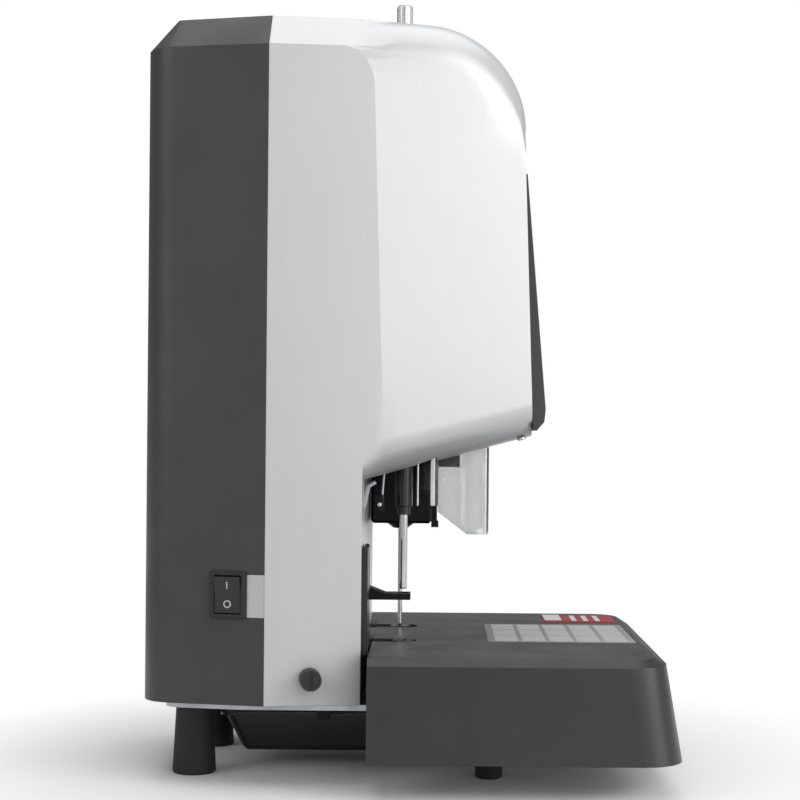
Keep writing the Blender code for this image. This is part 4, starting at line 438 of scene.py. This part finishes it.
def splitFaces(shape):
    bmesh.ops.triangulate(shape, faces=[f for f in shape.faces if len(f.verts) > 3])


def softenBrow(shape):
    for _ in range(brow["fineRounds"]):
        long = {e for f in shape.faces if inHead(f) for e in f.edges if e.calc_length() > brow["fineMm"] * mm}
        if not long:
            break
        bmesh.ops.subdivide_edges(shape, edges=list(long), cuts=1)
        splitFaces(shape)
    bmesh.ops.dissolve_degenerate(shape, dist=brow["sliverMm"] * mm, edges=shape.edges)
    splitFaces(shape)
    shape.normal_update()
    for vert in shape.verts:
        if vert.co.z / mm > brow["panelZ"]:
            rollEdge(vert)


def isCrease(edge):
    for vert in edge.verts:
        x, y, z = vert.co / mm
        if not (crease["lowY"] < y < crease["highY"] and crease["lowZ"] < z < crease["highZ"]):
            return False
        if abs(x) < crease["sideX"]:
            return False
    return edge.calc_face_angle(0) > math.radians(crease["turnDeg"])


def mergedCopy(name):
    shape = bmesh.new()
    shape.from_mesh(nodes[name].data)
    bmesh.ops.remove_doubles(shape, verts=shape.verts, dist=formed["mergeMm"] * mm)
    return shape


def linkMesh(shape, name, material):
    mesh = bpy.data.meshes.new(name)
    shape.to_mesh(mesh)
    shape.free()
    mesh.materials.append(material)
    piece = bpy.data.objects.new(name, mesh)
    bpy.context.collection.objects.link(piece)
    return piece


def formCopy(name):
    shape = mergedCopy(name)
    if name == "housing":
        softenBrow(shape)
    shape.normal_update()
    for edge in shape.edges:
        if len(edge.link_faces) == 2:
            edge.smooth = edge.calc_face_angle(0) < math.radians(formed["sharpDeg"])
            if name == "housing" and isCrease(edge):
                edge.smooth = False
    for face in shape.faces:
        face.smooth = True
    piece = linkMesh(shape, name + "Formed", byNode.get(name, bySlot[slotOf[name]]))
    weigh = piece.modifiers.new("flatsStayFlat", "WEIGHTED_NORMAL")
    weigh.keep_sharp = True
    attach(piece, bodyOf[name])
    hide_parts(name)


for name in formed["names"]:
    formCopy(name)
print("formed copies made:", len(formed["names"]))


# pieces made here: above sharpDeg an edge stays sharp, above squareTurn (radians) it is a rim to round off
trim = {"sharpDeg": 35, "squareTurn": 1.0, "cornerSteps": 5, "rimSteps": 2}


def endPiece(shape, name, material, body, place=None):
    if place is not None:
        bmesh.ops.transform(shape, matrix=place, verts=shape.verts)
    bmesh.ops.recalc_face_normals(shape, faces=shape.faces)
    piece = linkMesh(shape, name, material)
    piece.data.shade_smooth()
    piece.data.set_sharp_from_angle(angle=math.radians(trim["sharpDeg"]))
    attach(piece, body)
    return piece


def roundOff(shape, lines, offset, steps):
    return bmesh.ops.bevel(
        shape, geom=lines, offset=offset, segments=steps, profile=0.5, affect="EDGES", material=-1
    )


def rimsOf(shape, turn=trim["squareTurn"]):
    return [e for e in shape.edges if e.calc_face_angle(0) > turn]


def addBlock(shape, place, size):
    bmesh.ops.create_cube(shape, size=1, matrix=place @ Matrix.Diagonal((*size, 1)))


def slab(low, high, corner, edge):
    # a flat plate with round corners and softened rims
    shape = bmesh.new()
    low, high = Vector(low), Vector(high)
    size = high - low
    addBlock(shape, Matrix.Translation((low + high) / 2), size)
    if corner > 0:
        upright = [e for e in shape.edges if abs(e.verts[0].co.z - e.verts[1].co.z) > size.z / 2]
        roundOff(shape, upright, corner, trim["cornerSteps"])
    if edge > 0:
        roundOff(shape, rimsOf(shape), edge, trim["rimSteps"])
    return shape


def prism(corners, way):
    # a flat outline, drawn out
    shape = bmesh.new()
    face = shape.faces.new([shape.verts.new(corner) for corner in corners])
    grown = bmesh.ops.extrude_face_region(shape, geom=[face])["geom"]
    moved = [v for v in grown if isinstance(v, bmesh.types.BMVert)]
    bmesh.ops.translate(shape, verts=moved, vec=way)
    return shape


def roundBar(radius, length, segments):
    shape = bmesh.new()
    bmesh.ops.create_cone(
        shape, cap_ends=True, segments=segments, radius1=radius, radius2=radius, depth=length
    )
    return shape


def turnRound(shape, line, axis, steps):
    bmesh.ops.spin(
        shape, geom=line, cent=(0, 0, 0), axis=axis, angle=2 * math.pi, steps=steps, use_merge=True
    )


# the guard's copy: sawn grey rims, and a painted highlight in white on the bevelled arrises and along the
# line where each bend starts
guardEdge = {"flatDeg": 1, "arrisMm": 0.3, "arrisSteps": 1, "sharpDeg": 60, "bendDeg": 3, "sideShare": 0.95,
             "rimMm": 2.4, "bendY": -48.0, "bendRise": 0.1}


def formGuard():
    shape = mergedCopy("guard")
    flat = math.radians(guardEdge["flatDeg"])
    bmesh.ops.dissolve_limit(shape, angle_limit=flat, verts=shape.verts, edges=shape.edges)
    lines = []
    for edge in shape.edges:
        turn = math.degrees(edge.calc_face_angle(0))
        atSide = any(abs(f.normal.x) > guardEdge["sideShare"] for f in edge.link_faces)
        if turn > guardEdge["sharpDeg"] or (turn > guardEdge["bendDeg"] and atSide):
            lines.append(edge)
    grown = roundOff(shape, lines, guardEdge["arrisMm"] * mm, guardEdge["arrisSteps"])
    for face in shape.faces:
        thick = face.calc_area() / max(e.calc_length() for e in face.edges)
        inFront = face.calc_center_median().y < guardEdge["bendY"] * mm
        atBend = inFront and abs(face.normal.z) < guardEdge["bendRise"]
        face.material_index = 1 if thick < guardEdge["rimMm"] * mm and not atBend else 0
    # the bevelled arrises take the white painted-highlight material
    for face in grown["faces"]:
        face.material_index = 2
    piece = endPiece(shape, "guardFormed", acrylic, bodyOf["guard"])
    piece.data.materials.append(acrylicSawn)
    piece.data.materials.append(acrylicHighlightPainted)
    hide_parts("guard")


formGuard()
print("guard edges made")

# the table cover's rear: closing walls beside the column, the base plate through their slot, and strips of
# the top that reach back to the column between the channels; on the right the cover runs on a little further
tableRear = {
    "y": (23.4, 25.9), "wingY": (25.9, 35.3),
    "outline": ((144.3, 23.8), (141.4, 85.8), (137.5, 88.2), (100.0, 88.2), (100.0, 54.4), (125.4, 54.4),
                (125.4, 49.6), (100.0, 49.6), (100.0, 23.8)),
    "wing": ((146.9, 23.6), (143.9, 86.0), (138.9, 90.85), (111.0, 90.85), (111.0, 54.4), (125.4, 54.4),
             (125.4, 49.6), (111.0, 49.6), (111.0, 23.6)),
    "strips": ((-33.0, 33.0), (56.0, 111.0)), "stripY": (25.9, 31.5), "stripZ": (86.5, 90.85), "edge": 0.3,
}


def makeRearWall(name, side, outline, span):
    corners = [(side * x * mm, span[0] * mm, z * mm) for x, z in outline]
    shape = prism(corners, (0, (span[1] - span[0]) * mm, 0))
    endPiece(shape, name, tableGrey, "machine_body")


def makeTableRear():
    makeRearWall("tableRearWallLeft", -1, tableRear["outline"], tableRear["y"])
    makeRearWall("tableRearWallRight", 1, tableRear["outline"], tableRear["y"])
    makeRearWall("tableRearWing", 1, tableRear["wing"], tableRear["wingY"])
    for name, (x0, x1) in zip(("Middle", "Right"), tableRear["strips"]):
        low = Vector((x0, tableRear["stripY"][0], tableRear["stripZ"][0])) * mm
        high = Vector((x1, tableRear["stripY"][1], tableRear["stripZ"][1])) * mm
        shape = slab(low, high, 0, tableRear["edge"] * mm)
        endPiece(shape, "tableRearStrip" + name, tableGrey, "machine_body")


makeTableRear()
print("table rear closed")

# plates on the table: bare films in the places of the printed ones
plates = {
    # left, front, right and rear edge of each plate
    "tableZ": 90.9, "thick": 0.35, "grey": (-50.0, -157.0, 58.0, -54.5), "red": (77.0, -156.0, 127.0, -101.0),
    "corner": 2.0, "edge": 0.08, "rows": 5, "columns": 3, "fieldGap": 3.0, "margin": 5.0,
    "fieldRise": 0.05, "fieldThick": 0.12,
    # middle X and Y, width and height of each field on the red plate
    "redFields": ((106.0, -109.0, 40.0, 13.0), (102.0, -125.0, 36.0, 4.0), (102.0, -134.0, 36.0, 4.0),
                  (102.0, -143.0, 36.0, 4.0)),
}


def layFields(name, fields, material, z):
    # blank fields, in place of the printed text
    shape = bmesh.new()
    for cx, cy, wide, high in fields:
        place = Matrix.Translation((cx * mm, cy * mm, z + plates["fieldRise"] * mm))
        addBlock(shape, place, (wide * mm, high * mm, plates["fieldThick"] * mm))
    endPiece(shape, name, material, "machine_body")


def makePlates():
    z0 = plates["tableZ"] * mm
    z1 = z0 + plates["thick"] * mm
    for name, material in (("grey", greyFilm), ("red", redFilm)):
        x0, y0, x1, y1 = [v * mm for v in plates[name]]
        shape = slab((x0, y0, z0), (x1, y1, z1), plates["corner"] * mm, plates["edge"] * mm)
        endPiece(shape, name + "Plate", material, "machine_body")
    x0, y0, x1, y1 = plates["grey"]
    margin, gap = plates["margin"], plates["fieldGap"]
    wide = (x1 - x0 - 2 * margin - (plates["columns"] - 1) * gap) / plates["columns"]
    high = (y1 - y0 - 2 * margin - (plates["rows"] - 1) * gap) / plates["rows"]
    fields = []
    for row in range(plates["rows"]):
        for column in range(plates["columns"]):
            cx = x0 + margin + wide / 2 + column * (wide + gap)
            cy = y0 + margin + high / 2 + row * (high + gap)
            fields.append((cx, cy, wide, high))
    layFields("greyPlateFields", fields, paleFilm, z1)
    layFields("redPlateFields", plates["redFields"], whiteFilm, z1)


makePlates()
print("table plates made")

# the rocker's moulded marks: a bar above, a ring below
rockerMarks = {"spot": (-105.1, 119.5, 127.5), "leanDeg": 11.31, "barHigh": 5.0, "barWide": 0.9, "ringR": 2.6,
               "ringWall": 0.8, "ringSteps": 32, "raise": 0.25, "edge": 0.08, "upperX": -2.72,
               "lowerX": -1.72, "upperTiltDeg": 10.8, "z": 6.2}


def makeRockerMarks():
    seat = Matrix.Translation(Vector(rockerMarks["spot"]) * mm) @ Matrix.Rotation(
        -math.radians(rockerMarks["leanDeg"]), 4, "Z")
    bar = bmesh.new()
    size = (rockerMarks["raise"] * mm, rockerMarks["barWide"] * mm, rockerMarks["barHigh"] * mm)
    addBlock(bar, Matrix.Identity(4), size)
    roundOff(bar, bar.edges[:], rockerMarks["edge"] * mm, trim["rimSteps"])
    place = seat @ Matrix.Translation((rockerMarks["upperX"] * mm, 0, rockerMarks["z"] * mm))
    place = place @ Matrix.Rotation(-math.radians(rockerMarks["upperTiltDeg"]), 4, "Y")
    endPiece(bar, "rockerBarMark", whiteFilm, "rocker_body", place)
    ring = bmesh.new()
    r = rockerMarks["ringR"] * mm
    wall = rockerMarks["ringWall"] * mm
    half = rockerMarks["raise"] * mm / 2
    section = ((half, 0, r), (-half, 0, r), (-half, 0, r - wall), (half, 0, r - wall))
    corners = [ring.verts.new(spot) for spot in section]
    lines = [ring.edges.new(pair) for pair in zip(corners, corners[1:] + corners[:1])]
    turnRound(ring, corners + lines, (1, 0, 0), rockerMarks["ringSteps"])
    place = seat @ Matrix.Translation((rockerMarks["lowerX"] * mm, 0, -rockerMarks["z"] * mm))
    endPiece(ring, "rockerRingMark", whiteFilm, "rocker_body", place)


makeRockerMarks()
print("rocker marks made")

# the two screws under the nose that hold the front panel
noseScrews = {"y": -76.5, "z": 231.8, "x": 48.0, "headR": 3.0, "headHigh": 1.8, "leanDeg": 14.57,
              "segments": 24, "round": 0.8, "roundSteps": 4, "endShare": 0.9, "socketIn": 0.9,
              "socketDeep": 0.7}


def makeNoseScrews():
    for side, name in ((-1, "noseScrewLeft"), (1, "noseScrewRight")):
        shape = roundBar(noseScrews["headR"] * mm, noseScrews["headHigh"] * mm, noseScrews["segments"])
        low = [e for e in shape.edges if all(v.co.z < 0 for v in e.verts)]
        roundOff(shape, low, noseScrews["round"] * mm, noseScrews["roundSteps"])
        end = [f for f in shape.faces if f.normal.z < -noseScrews["endShare"]]
        bmesh.ops.inset_region(shape, faces=end, thickness=noseScrews["socketIn"] * mm, depth=0)
        socket = list({v for f in end for v in f.verts})
        bmesh.ops.translate(shape, verts=socket, vec=(0, 0, noseScrews["socketDeep"] * mm))
        place = Matrix.Translation((side * noseScrews["x"] * mm, noseScrews["y"] * mm, noseScrews["z"] * mm))
        place = place @ Matrix.Rotation(-math.radians(noseScrews["leanDeg"]), 4, "X")
        endPiece(shape, name, ground, "machine_body", place)


makeNoseScrews()
print("nose screws made")

# small fittings under the head, beside the drill
under = {
    "pin": {"x": -52.0, "lowY": -4.7, "highY": -4.7, "low": 184.9, "high": 262.0, "radius": 0.75,
            "segments": 16},
    "rod": {"x": -60.0, "lowY": 19.6, "highY": 14.8, "low": 189.0, "high": 262.0, "radius": 0.8,
            "segments": 16},
    # mouth: share of the radius and height above the low end; wave: share of the groove and of the pitch
    "sleeve": {"x": -30.0, "y": -9.6, "low": 195.0, "high": 262.0, "radius": 4.1, "pitch": 1.6, "groove": 0.5,
               "mouth": ((0.55, 0.0), (0.8, 0.3), (0.95, 1.0)), "mouthHigh": 1.6,
               "wave": ((0, 0.0), (0, 0.4), (1, 0.6), (1, 0.8)), "steps": 24},
    "clamp": {"low": (-62.0, 18.0, 181.5), "high": (-56.5, 24.5, 192.5), "corner": 1.4, "edge": 0.5},
    "screw": {"x": -62.3, "y": 21.3, "z": 186.0, "radius": 1.5, "high": 1.2, "segments": 20, "round": 0.3},
    "lever": {"x": -61.5, "width": 3.0, "half": 1.5, "rimTurn": 0.9, "round": 0.4, "roundSteps": 3,
              "path": ((24.2, 201.4), (29.1, 198.2), (31.5, 186.6), (33.6, 181.0))},
    "lip": {"low": (-44.0, -18.9, 184.6), "high": (-42.2, -13.6, 220.0), "edge": 0.3},
}


def makeThinRod(name, spec, material):
    low = Vector((spec["x"], spec["lowY"], spec["low"])) * mm
    high = Vector((spec["x"], spec["highY"], spec["high"])) * mm
    shape = roundBar(spec["radius"] * mm, (high - low).length, spec["segments"])
    place = Matrix.Translation((low + high) / 2) @ (high - low).to_track_quat("Z", "Y").to_matrix().to_4x4()
    endPiece(shape, name, material, "machine_body", place)


def makeSleeve():
    # corrugated hose: one wave per pitch, its end drawn in to a round mouth
    spec = under["sleeve"]
    r, pitch = spec["radius"], spec["pitch"]
    line = [(r * share, spec["low"] + up) for share, up in spec["mouth"]]
    z = spec["low"] + spec["mouthHigh"]
    while z < spec["high"] - pitch:
        line += [(r - spec["groove"] * deep, z + pitch * up) for deep, up in spec["wave"]]
        z += pitch
    line.append((r, spec["high"]))
    shape = bmesh.new()
    verts = [shape.verts.new((radius * mm, 0, height * mm)) for radius, height in line]
    lines = [shape.edges.new(pair) for pair in zip(verts, verts[1:])]
    turnRound(shape, verts + lines, (0, 0, 1), spec["steps"])
    bmesh.ops.holes_fill(shape, edges=[e for e in shape.edges if e.is_boundary], sides=0)
    place = Matrix.Translation((spec["x"] * mm, spec["y"] * mm, 0))
    endPiece(shape, "corrugatedSleeve", darkGrey, "machine_body", place)


def makeLever():
    # a flat strip bent twice; its heel goes into the column's front wall
    spec = under["lever"]
    path = [Vector(p) for p in spec["path"]]
    left, right = [], []
    for i, spot in enumerate(path):
        run = path[min(i + 1, len(path) - 1)] - path[max(i - 1, 0)]
        across = Vector((-run.y, run.x)).normalized() * spec["half"]
        left.append(spot + across)
        right.append(spot - across)
    corners = [(0, spot.x * mm, spot.y * mm) for spot in left + right[::-1]]
    shape = prism(corners, (spec["width"] * mm, 0, 0))
    bmesh.ops.recalc_face_normals(shape, faces=shape.faces)
    roundOff(shape, rimsOf(shape, spec["rimTurn"]), spec["round"] * mm, spec["roundSteps"])
    place = Matrix.Translation((spec["x"] * mm, 0, 0))
    endPiece(shape, "bentLever", zinc, "machine_body", place)


def makeUnderHead():
    makeThinRod("depthPin", under["pin"], ground)
    makeThinRod("slantRod", under["rod"], zinc)
    makeSleeve()
    makeLever()
    spec = under["clamp"]
    shape = slab(Vector(spec["low"]) * mm, Vector(spec["high"]) * mm, spec["corner"] * mm, spec["edge"] * mm)
    endPiece(shape, "clampBlock", blackSteel, "machine_body")
    spec = under["screw"]
    shape = roundBar(spec["radius"] * mm, spec["high"] * mm, spec["segments"])
    roundOff(shape, rimsOf(shape), spec["round"] * mm, trim["rimSteps"])
    place = Matrix.Translation((spec["x"] * mm, spec["y"] * mm, spec["z"] * mm))
    place = place @ Matrix.Rotation(math.pi / 2, 4, "Y")
    endPiece(shape, "clampScrew", ground, "machine_body", place)
    spec = under["lip"]
    shape = slab(Vector(spec["low"]) * mm, Vector(spec["high"]) * mm, 0, spec["edge"] * mm)
    endPiece(shape, "guardLip", acrylic, "machine_body")


makeUnderHead()
print("fittings under the head made")

# plain studio: a pale floor that runs out into a white surround
studio = {"floorHalf": 3.0, "floorHex": "#F4F4F3", "bounceHex": "#303030", "fadeFrom": 0.17, "fadeTo": 0.38,
          "worldFill": 0.30}


def mathOf(tree, operation, first, second):
    return addNode(tree, "ShaderNodeMath", {"operation": operation}, {0: first, 1: second}).outputs["Value"]


def makeFloor():
    # lamps and bounces meet grey paper; what the camera sees turns from pale paper to white further out
    made, tree, place = startMaterial("floorPaper")
    far = addNode(tree, "ShaderNodeVectorMath", {"operation": "LENGTH"}, {0: place}).outputs["Value"]
    fade = addNode(
        tree, "ShaderNodeMapRange",
        {"From Min": studio["fadeFrom"], "From Max": studio["fadeTo"], "To Min": 0.0, "To Max": 1.0},
        {"Value": far},
    ).outputs["Result"]
    rays = addNode(tree, "ShaderNodeLightPath")
    seen = mathOf(tree, "MAXIMUM", rays.outputs["Is Camera Ray"], rays.outputs["Is Glossy Ray"])
    seen = mathOf(tree, "MAXIMUM", seen, rays.outputs["Is Transmission Ray"])
    share = mathOf(tree, "MULTIPLY", fade, seen)
    paperColour = colourMix(tree, seen, studio["bounceHex"], studio["floorHex"])
    paper = addNode(tree, "ShaderNodeBsdfDiffuse", links={"Color": paperColour})
    glow = addNode(tree, "ShaderNodeEmission", {"Color": (1, 1, 1, 1), "Strength": 1.0})
    mix = addNode(tree, "ShaderNodeMixShader")
    tree.links.new(share, mix.inputs[0])
    tree.links.new(paper.outputs[0], mix.inputs[1])
    tree.links.new(glow.outputs[0], mix.inputs[2])
    endMaterial(tree, mix.outputs[0])
    shape = bmesh.new()
    bmesh.ops.create_grid(shape, x_segments=1, y_segments=1, size=studio["floorHalf"])
    floor = linkMesh(shape, "floor", made)


def makeWorld():
    # white where the camera looks, dimmer as a light
    world = bpy.data.worlds.new("studioWorld")
    bpy.context.scene.world = world
    world.use_nodes = True
    tree = world.node_tree
    tree.nodes.clear()
    rays = addNode(tree, "ShaderNodeLightPath")
    seen = mathOf(tree, "MAXIMUM", rays.outputs["Is Camera Ray"], rays.outputs["Is Transmission Ray"])
    strength = addNode(
        tree, "ShaderNodeMapRange", {"To Min": studio["worldFill"], "To Max": 1.0}, {"Value": seen}
    ).outputs["Result"]
    sky = addNode(tree, "ShaderNodeBackground", {"Color": (1, 1, 1, 1)}, {"Strength": strength})
    addNode(tree, "ShaderNodeOutputWorld", links={"Surface": sky.outputs[0]})


lampAim = (0.0, 0.0, 0.27)
lamps = {
    "lowKey": {"from": (-1.1, -2.0, 0.75), "size": 1.4, "power": 21},
    "highKey": {"from": (-1.0, -2.0, 1.5), "size": 1.2, "power": 11.2},
    "side": {"from": (-2.0, -0.9, 0.8), "size": 1.4, "power": 9.8},
    "top": {"from": (0.0, -0.2, 2.0), "size": 2.0, "power": 18.2},
    "back": {"from": (-1.2, 1.6, 0.9), "size": 1.2, "power": 8.6},
}


def makeLamps():
    for name, lamp in lamps.items():
        data = bpy.data.lights.new(name + "Lamp", "AREA")
        data.shape = "SQUARE"
        data.size = lamp["size"]
        data.energy = lamp["power"]
        made = bpy.data.objects.new(name + "Lamp", data)
        made.location = lamp["from"]
        aim = Vector(lampAim) - Vector(lamp["from"])
        made.rotation_euler = aim.to_track_quat("-Z", "Y").to_euler()
        bpy.context.collection.objects.link(made)


# camera at the left side, level, turned half a degree about its own axis
shot = {"place": (-1240, -17, 237.4), "lens": 77.29, "sensor": 36, "rollDeg": 0.5, "shiftX": -0.045,
        "shiftY": 0.0375, "clipStart": 0.05}


def makeCamera():
    data = bpy.data.cameras.new("photoCamera")
    data.sensor_width = shot["sensor"]
    data.lens = shot["lens"]
    data.shift_x = shot["shiftX"]
    data.shift_y = shot["shiftY"]
    data.clip_start = shot["clipStart"]
    made = bpy.data.objects.new("photoCamera", data)
    facing = Matrix.Rotation(-math.pi / 2, 4, "Z") @ Matrix.Rotation(math.pi / 2, 4, "X")
    roll = Matrix.Rotation(math.radians(shot["rollDeg"]), 4, "Z")
    made.matrix_world = Matrix.Translation(Vector(shot["place"]) * mm) @ facing @ roll
    bpy.context.collection.objects.link(made)
    bpy.context.scene.camera = made


makeFloor()
makeWorld()
makeLamps()
makeCamera()
bpy.context.scene.view_settings.view_transform = "Standard"
print("studio, lamps and camera set")
